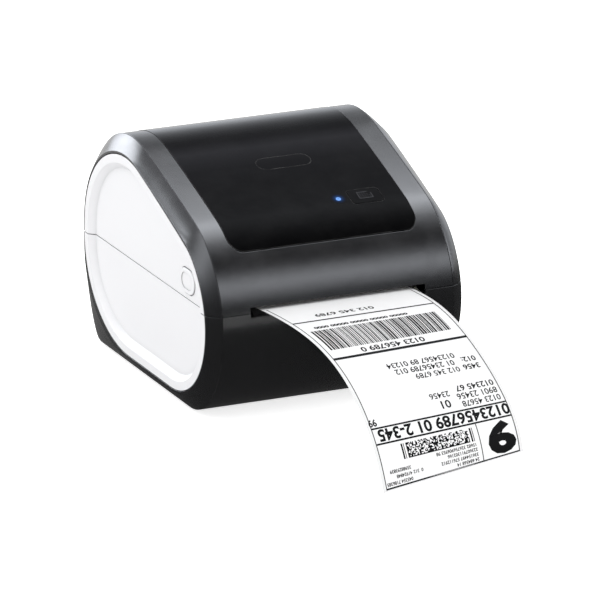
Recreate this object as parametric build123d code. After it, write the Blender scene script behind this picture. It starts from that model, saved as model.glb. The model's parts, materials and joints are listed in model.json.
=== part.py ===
from build123d import *
import math
import os

# Desktop thermal label printer with a clamshell cover and a roll of labels inside.
# Millimetres. +Z is up, the label leaves towards -Y, and +X is on the right of someone
# who faces the front. The origin is on the desk, under the middle of the whole outline.

# ---------------------------------------------------------------- driving dimensions
body_width = 170.6
body_depth = 200.6
body_height = 150.4
label_reach = 164.4

cheek_width = 8.3
cheek_gap = 0.3
rim_share = 0.88
rim_round = 1.2
wall = 2.6
parting_z = 74.0
parting_gap = 0.5
foot_height = 2.0

slope_bow = 2.0
nose_depth = 40.6
nose_top_z = 121.7
crest_drop = 3.1
nose_z = 66.0
belly_depth = 50.6
crest_from_rear = 62.0
crest_run = 21.0
rear_corner = 11.0

panel_low_z = 12.6
panel_front_inset = 7.3
panel_rear_inset = 4.4
panel_top_inset = 9.6
panel_slope_angle = 20.6
panel_rear_run = 74.0
panel_gap = 0.6
panel_skin = 2.2
dish_depth = 4.1
dish_border = 9.0
dish_slope = 3.6

slot_half_width = 58.2
slot_height = 5.6
window_half_width = 62.7
window_front_inset = 18.8
window_rear_inset = 9.0
window_corner = 8.5
window_thick = 1.6
window_proud = 0.25

label_width = 101.6
label_thick = 0.3
roll_radius = 50.0
roll_z = 76.0
roll_from_rear = 82.0
core_radius = 12.7
core_wall = 2.5
hub_clearance = 0.08

platen_radius = 8.0
platen_shaft = 3.0
platen_from_front = 14.6
platen_teeth = 18
idler_teeth = 30
pinion_teeth = 14
gear_module = 1.0
gear_face = 5.0
mesh_backlash = 0.12
running_gap = 0.05

guide_teeth = 16

hinge_radius = 6.0
hinge_pin_radius = 2.0

feed_button_size = (20.6, 13.9)
feed_button_x = 38.3
feed_button_from_front = 45.7
badge_size = (36.0, 12.0)
badge_x = 2.5
badge_from_front = 88.0
lamp_x = 20.3
lamp_radius = 1.6

release_size = (21.5, 15.5)
release_from_front = 42.6
release_z = 85.5
release_gap = 0.5

tray_top_z = 20.0
tray_thick = 2.0
board_z = 9.0
board_thick = 1.6

# ---------------------------------------------------------------- worked-out places
front_y = label_reach - (label_reach + body_depth) / 2
rear_y = front_y + body_depth
shell_half = body_width / 2 - cheek_width - cheek_gap
cheek_inner = body_width / 2 - cheek_width
panel_outer = body_width / 2
panel_back = panel_outer - dish_depth - panel_skin
cheek_back = panel_back - 0.2
roll_y = rear_y - roll_from_rear
platen_y = front_y + platen_from_front
strip_z = parting_z
platen_z = strip_z - label_thick / 2 - 0.2 - platen_radius
hinge_y = rear_y - hinge_radius
hinge_z = parting_z + hinge_radius + parting_gap / 2
button_y = front_y + feed_button_from_front
release_y = front_y + release_from_front
frame_half = label_width / 2 + 7.2
plate_thick = 1.6
floor_z = foot_height + wall


# ---------------------------------------------------------------- outlines
def share(low, high, part):
    """A value or a point that is `part` of the way from low to high."""
    if isinstance(low, tuple):
        return tuple(share(a, b, part) for a, b in zip(low, high))
    return low + (high - low) * part


def ridge_keys():
    """Where the curves of the housing's side outline start and end, as (y, z)."""
    crest = (rear_y - crest_from_rear, body_height)
    high = (crest[0] - crest_run, body_height - crest_drop)
    low = (front_y + nose_depth, nose_top_z)
    slope_angle = math.degrees(math.atan2(high[1] - low[1], high[0] - low[0]))
    return {
        "belly": (front_y + belly_depth, foot_height),
        "front": (front_y, nose_z),
        "slope_low": low,
        "slope_high": high,
        "crest": crest,
        "rear_high": (rear_y, body_height - crest_from_rear),
        "rear_low": (rear_y, foot_height + rear_corner),
        "rear_bottom": (rear_y - rear_corner, foot_height),
        "angles": (slope_angle + slope_bow, slope_angle - slope_bow),
    }


def panel_keys():
    """The same places for the white side panel, further in and rounder at the rear."""
    ridge = ridge_keys()
    crest = (ridge["crest"][0] - 10.0, body_height - panel_top_inset)
    run = crest_run - 3.0
    high_angle = panel_slope_angle - slope_bow
    high = (crest[0] - run, crest[1] - run / 2 * math.tan(math.radians(high_angle)))
    low_y = front_y + nose_depth - 4.0
    low = (low_y, high[1] - (high[0] - low_y) * math.tan(math.radians(panel_slope_angle)))
    rear = rear_y - panel_rear_inset
    return {
        "belly": (front_y + belly_depth + 10.0, panel_low_z),
        "front": (front_y + panel_front_inset, nose_z - 2.0),
        "slope_low": low,
        "slope_high": high,
        "crest": crest,
        "rear_high": (rear, body_height - crest_from_rear - panel_top_inset),
        "rear_low": (rear, parting_z - 2.0),
        "rear_bottom": (rear - panel_rear_run + 4.4, panel_low_z),
        "angles": (panel_slope_angle + slope_bow, high_angle),
    }


def inset_keys(keys, depth):
    """The outline moved inwards by depth, square to itself at every key place."""
    low_angle, high_angle = (math.radians(a) for a in keys["angles"])
    moved = {
        "belly": (0.0, depth),
        "front": (depth, 0.0),
        "slope_low": (depth * math.sin(low_angle), -depth * math.cos(low_angle)),
        "slope_high": (depth * math.sin(high_angle), -depth * math.cos(high_angle)),
        "crest": (0.0, -depth),
        "rear_high": (-depth, 0.0),
        "rear_low": (-depth, 0.0),
        "rear_bottom": (0.0, depth),
    }
    result = {name: (keys[name][0] + dy, keys[name][1] + dz) for name, (dy, dz) in moved.items()}
    result["angles"] = keys["angles"]
    return result


def between_keys(first, second, part):
    """An outline that is `part` of the way from the first to the second."""
    return {name: share(first[name], second[name], part) for name in first}


def meet(point, angle, other, other_angle):
    """Where the line through point at angle meets the one through other."""
    rise = math.tan(math.radians(angle))
    other_rise = math.tan(math.radians(other_angle))
    y = (other[1] - point[1] + rise * point[0] - other_rise * other[0]) / (rise - other_rise)
    return (y, point[1] + rise * (y - point[0]))


def bend(start, corner, end, fullness=0.56):
    """A round corner: a curve from start to end, tangent to the lines through corner."""
    return Bezier(start, share(start, corner, fullness), share(end, corner, fullness), end)


def slope_corner(keys):
    """The corner that the long slope's curve leans on."""
    return meet(keys["slope_low"], keys["angles"][0], keys["slope_high"], keys["angles"][1])


def outline(keys):
    """The closed side outline as a face on XY, where X stands for y and Y for z."""
    belly, front, low, high = keys["belly"], keys["front"], keys["slope_low"], keys["slope_high"]
    crest, rear_high, rear_low = keys["crest"], keys["rear_high"], keys["rear_low"]
    bottom = keys["rear_bottom"]
    low_rise = math.tan(math.radians(keys["angles"][0]))
    high_rise = math.tan(math.radians(keys["angles"][1]))
    nose_corner = (front[0], low[1] - (low[0] - front[0]) * low_rise)
    crest_corner = (high[0] + (crest[1] - high[1]) / high_rise, crest[1])
    edges = [
        bend(belly, (front[0], belly[1]), front),
        bend(front, nose_corner, low),
        bend(low, slope_corner(keys), high),
        bend(high, crest_corner, crest),
        bend(crest, (rear_high[0], crest[1]), rear_high),
        Line(rear_high, rear_low),
        bend(rear_low, (rear_low[0], bottom[1]), bottom),
        Line(bottom, belly),
    ]
    return make_face(Curve() + edges)


def side_prism(keys, low_x, high_x):
    """The outline run along X from low_x to high_x."""
    return extrude(Plane.YZ.offset(low_x) * outline(keys), high_x - low_x)


def slope_plane(y, x=0.0):
    """A plane on the long slope at y, with its Z square to the surface."""
    keys = ridge_keys()
    low, corner, high = keys["slope_low"], slope_corner(keys), keys["slope_high"]
    controls = [low, share(low, corner, 0.56), share(high, corner, 0.56), high]
    first, last = 0.0, 1.0
    for _ in range(40):
        middle = (first + last) / 2
        point = bezier_point(controls, middle)
        first, last = (middle, last) if point[0] < y else (first, middle)
    before, after = bezier_point(controls, first - 0.001), bezier_point(controls, first + 0.001)
    angle = math.atan2(after[1] - before[1], after[0] - before[0])
    normal = (0, -math.sin(angle), math.cos(angle))
    return Plane(origin=(x, y, point[1]), x_dir=(1, 0, 0), z_dir=normal)


def bezier_point(controls, part):
    """A point of a Bezier curve, by halving between its control points."""
    while len(controls) > 1:
        controls = [share(a, b, part) for a, b in zip(controls, controls[1:])]
    return controls[0]


# ---------------------------------------------------------------- plain solids
def block(x_range, y_range, z_range):
    """A box between (low, high) pairs on each axis."""
    ranges = (x_range, y_range, z_range)
    size = [high - low for low, high in ranges]
    centre = [(high + low) / 2 for low, high in ranges]
    return Pos(*centre) * Box(*size)


def rod_x(low_x, high_x, y, z, radius):
    """A round bar along X."""
    return Pos((low_x + high_x) / 2, y, z) * Rot(0, 90, 0) * Cylinder(radius, high_x - low_x)


def rod_z(x, y, low_z, high_z, radius):
    """An upright round bar."""
    return Pos(x, y, (low_z + high_z) / 2) * Cylinder(radius, high_z - low_z)


def both_sides(shape):
    """The shape and its mirror image across the middle of the printer."""
    return [shape, mirror(shape, Plane.YZ)]


def save(shape, name):
    """Write one sub-part."""
    export_step(shape, f"parts/{name}.step")


def group(shapes):
    """Separate solids kept in one node."""
    return Compound(children=list(shapes))


def screw(x, y, top_z, length, radius=1.4, head_radius=2.6, head_height=1.6):
    """A pan-head screw that points down from top_z, with a cross recess in its head."""
    head = rod_z(x, y, top_z, top_z + head_height, head_radius)
    head = fillet(head.edges().group_by(Axis.Z)[-1], 0.6)
    shank = rod_z(x, y, top_z - length, top_z, radius)
    deep = top_z + head_height - 0.8
    cross = block((x - 1.4, x + 1.4), (y - 0.3, y + 0.3), (deep, deep + 2))
    cross += block((x - 0.3, x + 0.3), (y - 1.4, y + 1.4), (deep, deep + 2))
    return head + shank - cross


def screw_up(x, y, bottom_z, length, **sizes):
    """The same screw driven upwards, with its head's underside at bottom_z."""
    return mirror(screw(x, y, -bottom_z, length, **sizes), Plane.XY)


# ---------------------------------------------------------------- gears
def gear_outline(teeth, tooth_angle):
    """An involute spur gear as a face, with one tooth centred at tooth_angle degrees."""
    pitch = gear_module * teeth / 2
    base = pitch * math.cos(math.radians(20))
    tip = pitch + 0.85 * gear_module
    root = pitch - 1.25 * gear_module
    half_tooth = (math.pi * gear_module / 2 - mesh_backlash) / 2 / pitch
    roll_at_pitch = math.tan(math.radians(20)) - math.radians(20)

    def flank(radius):
        """Half of the tooth's angle at a radius on the involute."""
        pressure = math.acos(min(1.0, base / radius))
        return half_tooth + roll_at_pitch - (math.tan(pressure) - pressure)

    start = max(base, root)
    radii = [share(start, tip, step / 4) for step in range(5)]
    points = []
    for tooth in range(teeth):
        centre = math.radians(tooth_angle) + tooth * 2 * math.pi / teeth
        rising = [(root, -flank(start))] + [(r, -flank(r)) for r in radii]
        falling = [(r, flank(r)) for r in reversed(radii)] + [(root, flank(start))]
        for radius, angle in rising + falling:
            points.append((radius * math.cos(centre + angle), radius * math.sin(centre + angle)))
    return make_face(Polyline(*points, close=True))


def mesh_angle(driver_angle, driver_teeth, direction, teeth):
    """The tooth angle of a gear that meshes with a driver, seen from it in direction."""
    pitch_angle = 360 / driver_teeth
    phase = ((direction - driver_angle) / pitch_angle) % 1
    return direction + 180 + (phase - 0.5) * 360 / teeth


def gear_along_x(teeth, tooth_angle, low_x, y, z, bore):
    """A gear on an axle along X, with a lightening groove on each face."""
    face = Plane((low_x, y, z), x_dir=(0, 1, 0), z_dir=(1, 0, 0)) * gear_outline(teeth, tooth_angle)
    body = extrude(face, gear_face)
    pitch = gear_module * teeth / 2
    if pitch > 12:
        ring_out, ring_in = pitch - 3.0, bore + 3.0
        for at in (low_x - 1, low_x + gear_face - 1):
            ring = rod_x(at, at + 2, y, z, ring_out) - rod_x(at, at + 2, y, z, ring_in)
            body -= ring
    return body - rod_x(low_x - 1, low_x + gear_face + 1, y, z, bore)


train_mesh = 0.03
idler_distance = gear_module * (platen_teeth + idler_teeth) / 2 + train_mesh
pinion_distance = gear_module * (idler_teeth + pinion_teeth) / 2 + train_mesh
idler_drop = 60.0
pinion_drop = 45.0
idler_y = platen_y + idler_distance * math.cos(math.radians(idler_drop))
idler_z = platen_z - idler_distance * math.sin(math.radians(idler_drop))
pinion_y = idler_y + pinion_distance * math.cos(math.radians(pinion_drop))
pinion_z = idler_z - pinion_distance * math.sin(math.radians(pinion_drop))
gear_x = -frame_half - plate_thick - 2.0 - gear_face


# ---------------------------------------------------------------- housing
def above_parting():
    reach = body_width + body_depth
    return block((-reach, reach), (-reach, reach), (parting_z + parting_gap / 2, reach))


def below_parting():
    reach = body_width + body_depth
    return block((-reach, reach), (-reach, reach), (-reach, parting_z - parting_gap / 2))


def swing_relief():
    """What is cut off the cover's lower rear edge so that it rolls round the hinge."""
    half = body_width
    corner = block((-half, half), (hinge_y, rear_y + 5), (parting_z - 1, hinge_z))
    return corner - rod_x(-half, half, hinge_y, hinge_z, hinge_radius)


def slot_cut():
    low, high = parting_z - slot_height / 2, parting_z + slot_height / 2 + 0.6
    return block((-slot_half_width, slot_half_width), (front_y - 5, front_y + 8), (low, high))


def release_slug(low_x, high_x, extra):
    """The release button's outline, grown by extra, as a bar along X."""
    sketch = SlotOverall(release_size[0] + 2 * extra, release_size[1] + 2 * extra)
    return extrude(Plane((low_x, release_y, release_z), (0, 1, 0), (1, 0, 0)) * sketch, high_x - low_x)


def window_region(shrink):
    """The upright prism that bounds the gloss panel in plan."""
    low_y, high_y = front_y + window_front_inset, rear_y - window_rear_inset
    plan = RectangleRounded(
        2 * (window_half_width - shrink), high_y - low_y - 2 * shrink, window_corner - shrink
    )
    return extrude(Plane((0, (low_y + high_y) / 2, parting_z + 8)) * plan, body_height)


def hinge_notches():
    """Gaps in the cover's rear edge where the base's hinge ears stand."""
    spans = [(x - 0.4, x + ear_width + 0.4) for x in ear_starts]
    spans += [(-high, -low) for low, high in spans]
    return [block(span, (hinge_y - 9, rear_y + 5), (parting_z - 1, hinge_z + 7)) for span in spans]


spring_rib_x = 60.0
striker_reach = 4.3
latch_gap = 0.3
board_depth = 9.0
ear_width = 6.0
ear_starts = (36.0, 54.0)
bracket_half = label_width / 2 + 3.0
post_x = bracket_half - 7.8
post_y = platen_y + 2.0
bracket_z = strip_z + 17.0


def cover_shell():
    keys = ridge_keys()
    outer = side_prism(keys, -shell_half, shell_half)
    inner = side_prism(inset_keys(keys, wall), -shell_half + wall, shell_half - wall)
    shell = outer - inner
    shell += outer & rod_x(-shell_half, shell_half, hinge_y, hinge_z, hinge_radius)
    shell += [outer & block((s * post_x - 4, s * post_x + 4), (post_y - 4, post_y + 4), (bracket_z, 200))
              for s in (-1, 1)]
    for side in (-1, 1):
        rib_x = (side * spring_rib_x - 1, side * spring_rib_x + 1)
        shell += outer & block(rib_x, (release_y - 6, release_y + 6), (release_z - 7, 200))
    for x, y in board_posts():
        post = outer & block((x - 1.8, x + 1.8), (y - 3, y + 3), (parting_z + 20, 200))
        shell += post - below_slope(board_depth)
    band = side_prism(keys, -body_width, body_width)
    band -= side_prism(inset_keys(keys, window_thick - window_proud + 0.1), -body_width, body_width)
    shell -= band & window_region(-0.2)
    shell &= above_parting()
    shell -= swing_relief()
    shell -= slot_cut()
    shell -= hinge_notches()
    shell -= rod_x(-shell_half, shell_half, hinge_y, hinge_z, hinge_pin_radius + running_gap)
    shell -= both_sides(release_slug(shell_half - wall - 1, shell_half + 1, release_gap))
    shell -= button_hole()
    shell -= lamp_bar(lamp_radius + 0.1)
    for side in (-1, 1):
        shell -= rod_z(side * post_x, post_y, bracket_z - 1, bracket_z + 8, 1.4)
    return shell


def below_slope(depth):
    """Everything deeper than depth under the slope at the feed button."""
    plane = slope_plane(button_y)
    sheet = Rectangle(400, 120)
    return extrude(plane.offset(-depth) * sheet, -200)


def board_posts():
    middle, half = button_board_x()
    return [(middle - half + 2.5, button_y), (middle + half - 2.5, button_y)]


def button_board_x():
    """The middle and half length of the board under the feed button and the lamp."""
    low, high = lamp_x - 13.0, feed_button_x + feed_button_size[0] / 2 + 6.0
    return (low + high) / 2, (high - low) / 2


def button_hole():
    plane = slope_plane(button_y, feed_button_x)
    sketch = RectangleRounded(feed_button_size[0] + 0.6, feed_button_size[1] + 0.6, 2.8)
    return extrude(plane.offset(-6) * sketch, 12)


def lamp_bar(radius, low=-7.0, high=4.0):
    plane = slope_plane(button_y, lamp_x)
    return extrude(plane.offset(low) * Circle(radius), high - low)


def window_panel():
    keys = ridge_keys()
    band = side_prism(inset_keys(keys, -window_proud), -body_width, body_width)
    band -= side_prism(inset_keys(keys, window_thick - window_proud), -body_width, body_width)
    panel = band & window_region(0)
    panel -= button_hole()
    panel -= lamp_bar(lamp_radius)
    return panel - badge_body(0.15, 0.8)


def badge_body(extra, depth):
    """A pill on the window, from depth below its face to level with it."""
    plane = slope_plane(front_y + badge_from_front, badge_x)
    length, height = (size + 2 * extra for size in badge_size)
    return extrude(plane.offset(window_proud - depth) * SlotOverall(length, height), depth + 0.4 * extra)


def base_shell():
    keys = ridge_keys()
    outer = side_prism(keys, -shell_half, shell_half)
    inner = side_prism(inset_keys(keys, wall), -shell_half + wall, shell_half - wall)
    shell = outer - inner
    for side in (-1, 1):
        ledge_x = sorted((side * (shell_half - wall), side * (shell_half - wall - 4)))
        ledge_top = tray_top_z - tray_thick
        shell += outer & block(ledge_x, (tray_front(), tray_rear()), (ledge_top - 3, ledge_top))
    bosses = [rod_z(x, y, floor_z, floor_z + 6, 3.2) for x, y in bottom_screw_places()]
    bosses += [outer & rod_z(x, y, foot_height, frame_foot_z, 4.0) for x, y in frame_screw_places()]
    shell += bosses
    shell &= below_parting()
    shell += [ear & outer for ear in hinge_ears()]
    shell -= slot_cut()
    shell -= feed_slot()
    shell -= block(port_span, (rear_y - wall - 1, rear_y + 1), (port_low_z, port_high_z))
    plate_x, plate_y = bottom_plate_spans()
    shell -= block(plate_x, plate_y, (foot_height - 1, foot_height + bottom_plate_thick + 0.1))
    ledge = 3.5
    shell -= block((plate_x[0] + ledge, plate_x[1] - ledge), (plate_y[0] + ledge, plate_y[1] - ledge),
                   (foot_height - 1, floor_z + 0.5))
    for x, y in bottom_screw_places():
        shell -= rod_z(x, y, 0, floor_z + 5, 1.4)
    for x, y in frame_screw_places():
        shell -= rod_z(x, y, frame_foot_z - 8, frame_foot_z + 1, 1.4)
    shell -= rod_x(-100, 100, hinge_y, hinge_z, hinge_pin_radius)
    return shell


frame_foot_z = 16.0
feed_slot_z = (61.0, 67.5)
bottom_plate_thick = 1.4
port_span = (-52.0, 52.0)
port_low_z, port_high_z = 10.0, 34.0


def hinge_ears():
    ears = []
    for start in ear_starts:
        ear = rod_x(start, start + ear_width, hinge_y, hinge_z, hinge_radius - 0.6)
        foot = (hinge_y - 5.4, hinge_y + 5.4)
        ear += block((start, start + ear_width), foot, (feed_slot_z[1] + 0.9, hinge_z))
        ears += both_sides(ear)
    return ears


def feed_slot():
    """The opening in the rear wall for fan-folded labels."""
    return block((-slot_half_width, slot_half_width), (rear_y - wall - 1, rear_y + 1), feed_slot_z)


def tray_front():
    return roll_y - roll_radius - 5.0


def tray_rear():
    return roll_y + roll_radius + 6.0


def bottom_plate_spans():
    return (-56.0, 56.0), (tray_front() + 10, rear_y - 24)


def bottom_screw_places():
    (x0, x1), (y0, y1) = bottom_plate_spans()
    return [(x, y) for x in (x0 + 6.2, x1 - 6.2) for y in (y0 + 1.8, y1 - 1.8)]


def frame_screw_places():
    rows = (platen_y + 22, pinion_y + 13)
    return [(side * (frame_half + 9), y) for side in (-1, 1) for y in rows]


def cheek(keep):
    """The bevelled side moulding of one half, on the +X side."""
    ridge, panel = ridge_keys(), panel_keys()
    sections = []
    for step in (0.0, 0.4, 0.75, 1.0):
        keys = between_keys(ridge, panel, rim_share * step ** rim_round)
        x = share(cheek_inner, panel_outer, step)
        sections.append(Plane.YZ.offset(x) * outline(keys))
    moulding = loft(sections)
    moulding -= side_prism(panel, cheek_back, panel_outer + 1)
    window = inset_keys(panel, 20.0)
    moulding -= side_prism(window, cheek_inner - 1, cheek_back + 1) & below_parting()
    return moulding & keep


def upper_cheek():
    part = cheek(above_parting()) - swing_relief()
    return part - release_slug(cheek_inner - 1, cheek_back + 1, release_gap)


def side_panel(keep):
    """The white dished panel of one half, on the +X side."""
    keys = inset_keys(panel_keys(), panel_gap)
    plate = side_prism(keys, panel_back, panel_outer)
    floor = Plane.YZ.offset(panel_outer - dish_depth) * outline(inset_keys(keys, dish_border))
    mouth = Plane.YZ.offset(panel_outer + 0.01) * outline(inset_keys(keys, dish_border - dish_slope))
    plate -= loft([floor, mouth])
    return plate & keep


def upper_panel():
    part = side_panel(above_parting()) - swing_relief()
    return part - release_slug(panel_back - 1, panel_outer + 1, release_gap)


def bottom_plate():
    (x0, x1), (y0, y1) = bottom_plate_spans()
    top = foot_height + bottom_plate_thick
    plate = block((x0 + 0.3, x1 - 0.3), (y0 + 0.3, y1 - 0.3), (foot_height, top))
    for x, y in bottom_screw_places():
        plate -= rod_z(x, y, 0, top + 1, 1.4)
    for x, y in board_holes():
        plate += rod_z(x, y, top, board_z, 3.0)
        plate -= rod_z(x, y, board_z - 4, board_z + 1, 1.2)
    for row in range(6):
        y = y0 + 30 + row * 7
        plate -= block((-22, 22), (y, y + 2.2), (0, top + 1))
    return plate


def board_spans():
    (x0, x1), (y0, y1) = bottom_plate_spans()
    return (x0 + 12, x1 - 12), (y0 + 14, rear_y - 13)


def board_holes():
    (x0, x1), (y0, y1) = board_spans()
    last = bottom_plate_spans()[1][1] - 8
    return [(x, y) for x in (x0 + 5, x1 - 5) for y in (y0 + 5, last)]


def rubber_feet():
    (x0, x1), (y0, y1) = bottom_plate_spans()
    feet = []
    for x in (x0 - 10, x1 + 10):
        for y in (front_y + belly_depth + 10, rear_y - 26):
            foot = rod_z(x, y, 0, foot_height, 6.0)
            foot = chamfer(foot.edges().group_by(Axis.Z)[0], 0.5)
            feet.append(foot)
    return group(feet)


# ---------------------------------------------------------------- inside the base
def media_tray():
    """The liner under the roll, with end walls, rack guides and the pinion's peg."""
    half = shell_half - wall - 0.3
    floor = block((-half, half), (tray_front(), tray_rear()), (tray_top_z - tray_thick, tray_top_z))
    for y in (tray_front(), tray_rear() - 2):
        floor += block((-half, half), (y, y + 2), (tray_top_z - tray_thick, tray_top_z + 36))
    for side in (-1, 1):
        y = roll_y + side * (guide_pitch() + rack_body + 0.8 + 0.3)
        guide_half = label_width / 2 - 6.8
        floor += block((-guide_half, guide_half), sorted((y, y + side * 2)), (tray_top_z, tray_top_z + 4))
    floor += rod_z(0, roll_y, tray_top_z, tray_top_z + 5.5, 2.5)
    return floor


rack_body = 6.0
rack_low_z = tray_top_z + 0.3


def guide_pitch():
    return gear_module * guide_teeth / 2


def guide_pinion():
    """The pinion that keeps both roll holders at equal distances from the middle."""
    pinion = extrude(Plane((0, roll_y, rack_low_z)) * gear_outline(guide_teeth, 90), 4.0)
    return pinion - rod_z(0, roll_y, 0, 100, 2.5 + running_gap)


def rack_outline(low_x, high_x):
    """A rack whose teeth point to +Y, with a gap centred at x = 0 and its pitch line at y = 0."""
    pitch = math.pi * gear_module
    half = (pitch / 2 - mesh_backlash) / 2
    slant = math.tan(math.radians(20))
    tip, root = 0.85 * gear_module, 1.25 * gear_module
    points = [(low_x, -root), (low_x, -rack_body), (high_x, -rack_body), (high_x, -root)]
    count = int((high_x - low_x) / pitch)
    last = math.floor((high_x - half - 1) / pitch - 0.5)
    for index in range(count - 1):
        middle = (last - index + 0.5) * pitch
        if middle - half - root * slant < low_x:
            break
        points += [(middle + half + root * slant, -root), (middle + half - tip * slant, tip),
                   (middle - half + tip * slant, tip), (middle - half - root * slant, -root)]
    return make_face(Polyline(*points, close=True))


def roll_holder():
    """The right-hand holder: a rack, a foot, an arm and the hub that fits the roll's core."""
    inner_x = label_width / 2 + 0.3
    rack = extrude(
        Plane((0, roll_y - guide_pitch() - 0.03, rack_low_z)) * rack_outline(-14.0, inner_x + 2), 4.0
    )
    foot = block((inner_x, inner_x + 9), (roll_y - 22, roll_y + 22), (rack_low_z, rack_low_z + 6))
    arm = block((inner_x, inner_x + 4), (roll_y - 14, roll_y + 14), (rack_low_z, roll_z))
    arm += rod_x(inner_x, inner_x + 4, roll_y, roll_z, 14)
    arm += block((inner_x + 3.9, inner_x + 9), (roll_y - 1.5, roll_y + 1.5), (rack_low_z, roll_z - 8))
    hub = rod_x(inner_x - 7, inner_x + 1, roll_y, roll_z, core_radius - hub_clearance)
    hub = chamfer(hub.edges().group_by(Axis.X)[0], 1.2)
    hub -= rod_x(inner_x - 8, inner_x - 1, roll_y, roll_z, core_radius - 3)
    return rack + foot + arm + hub


def label_roll():
    half = label_width / 2
    return rod_x(-half, half, roll_y, roll_z, roll_radius) - rod_x(
        -half - 1, half + 1, roll_y, roll_z, core_radius + core_wall)


def roll_core():
    half = label_width / 2
    outer = rod_x(-half, half, roll_y, roll_z, core_radius + core_wall)
    return outer - rod_x(-half - 1, half + 1, roll_y, roll_z, core_radius)


def web_start():
    """Where the web leaves the roll, and the place where it turns level, as (y, z)."""
    corner = (platen_y + 14.0, strip_z)
    radius = roll_radius + 0.35 + label_thick / 2
    away = (roll_y - corner[0], roll_z - corner[1])
    distance = math.hypot(*away)
    angle = math.atan2(away[1], away[0]) + math.asin(radius / distance)
    length = math.sqrt(distance ** 2 - radius ** 2)
    return (corner[0] + length * math.cos(angle), corner[1] + length * math.sin(angle)), corner


def strip_path():
    """The web's middle line from the roll, over the platen and out to its hanging end."""
    start, corner = web_start()
    turn = share(corner, start, 0.12)
    level = (corner[0] - 8, strip_z)
    lip = (front_y + 6.6, strip_z + 0.5)
    end = (front_y - label_reach + 0.1, foot_height + 11)
    drop = [lip, (front_y - 51, strip_z + 6.4), (front_y - 126, strip_z), end]
    run_out = Bezier(level, (lip[0] + 6, strip_z), lip)
    return [Line(start, turn), bend(turn, corner, level), run_out, Bezier(*drop)]


def label_strip():
    half = label_width / 2
    faces = [trace(edge, label_thick) for edge in strip_path()]
    solids = [extrude(Plane.YZ.offset(-half) * face, label_width) for face in faces]
    strip = solids[0]
    for solid in solids[1:]:
        strip += solid
    return strip


def frame_plate(side):
    """A side plate of the print mechanism, with a foot that is screwed to the base."""
    x = side * (frame_half + plate_thick / 2)
    span = (x - plate_thick / 2, x + plate_thick / 2)
    low, high = frame_foot_z, platen_z + 5.4
    plate = block(span, (platen_y - 8.5, platen_y + 24), (low, high))
    plate += block(span, (platen_y, pinion_y + 20), (low, pinion_z + 20))
    foot_x = sorted((x + side * plate_thick / 2, x + side * 13))
    plate += block(foot_x, (platen_y + 14, pinion_y + 18), (low, low + plate_thick))
    plate &= side_prism(inset_keys(ridge_keys(), wall + 0.3), -body_width, body_width)
    for place_x, y in frame_screw_places():
        plate -= rod_z(place_x, y, 0, low + 4, 1.4)
    plate -= rod_x(-100, 100, platen_y, platen_z, bush_radius)
    if side < 0:
        plate -= rod_x(-100, 0, pinion_y, pinion_z, pinion_boss)
        plate -= rod_x(-100, 0, idler_y, idler_z, 2.0)
        plate -= [rod_x(-100, 0, pinion_y + s * motor_hole, pinion_z, 1.4) for s in (-1, 1)]
    return plate


bush_radius = 5.0
pinion_boss = 5.5
motor_radius = 17.5
motor_hole = 13.5


def frame_crossbar():
    low = platen_z - 22
    bar = block((-frame_half, frame_half), (platen_y - 4, platen_y + 8), (low, low + 1.6))
    bar += block((-frame_half, frame_half), (platen_y + 6.4, platen_y + 8), (low - 10, low))
    return bar


def platen_bushes():
    bushes = []
    for side in (-1, 1):
        low, high = sorted((side * (frame_half - 2), side * (frame_half + plate_thick)))
        bush = rod_x(low, high, platen_y, platen_z, bush_radius)
        flange = sorted((side * frame_half, side * (frame_half - 2)))
        bush += rod_x(*flange, platen_y, platen_z, bush_radius + 1.5)
        bushes.append(bush - rod_x(-100, 100, platen_y, platen_z, platen_shaft + running_gap))
    return group(bushes)


def platen_shaft_bar():
    return rod_x(gear_x - 1, frame_half + plate_thick + 3, platen_y, platen_z, platen_shaft)


def platen_roller():
    half = label_width / 2 + 2.5
    roller = rod_x(-half, half, platen_y, platen_z, platen_radius)
    return roller - rod_x(-half - 1, half + 1, platen_y, platen_z, platen_shaft)


def idler_stud():
    stud = rod_x(gear_x - 0.4, -frame_half, idler_y, idler_z, 2.0)
    stud += rod_x(gear_x - 1.6, gear_x - 0.4, idler_y, idler_z, 3.4)
    return stud + rod_x(gear_x + gear_face + 0.3, -frame_half - plate_thick, idler_y, idler_z, 3.4)


def stepper_motor():
    back = -frame_half + 24
    motor = rod_x(-frame_half, back, pinion_y, pinion_z, motor_radius)
    motor = fillet(motor.edges().group_by(Axis.X)[-1], 1.5)
    motor += rod_x(-frame_half - plate_thick, -frame_half, pinion_y, pinion_z, pinion_boss)
    motor += block((back - 12, back - 4), (pinion_y + motor_radius - 3, pinion_y + motor_radius + 3),
                   (pinion_z - 6, pinion_z + 6))
    motor -= rod_x(-frame_half - 5, back - 3, pinion_y, pinion_z, 1.5 + running_gap)
    return motor - [rod_x(-frame_half - 5, -frame_half + 6, pinion_y + s * motor_hole, pinion_z, 1.4)
                    for s in (-1, 1)]


def base_screws():
    """The screws of the bottom plate, the mechanism's feet and the motor."""
    screws = [screw_up(x, y, foot_height, 6, head_height=1.2) for x, y in bottom_screw_places()]
    screws += [screw(x, y, frame_foot_z + plate_thick, 7) for x, y in frame_screw_places()]
    face = -frame_half - plate_thick
    for side in (-1, 1):
        y = pinion_y + side * motor_hole
        head = rod_x(face - 1.5, face, y, pinion_z, 2.6)
        slot = block((face - 2, face - 0.8), (y - 3, y + 3), (pinion_z - 0.3, pinion_z + 0.3))
        screws.append(head + rod_x(face, face + 6, y, pinion_z, 1.4) - slot)
    return group(screws)


def motor_shaft():
    return rod_x(gear_x - 0.5, -frame_half + 20, pinion_y, pinion_z, 1.5)


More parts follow.
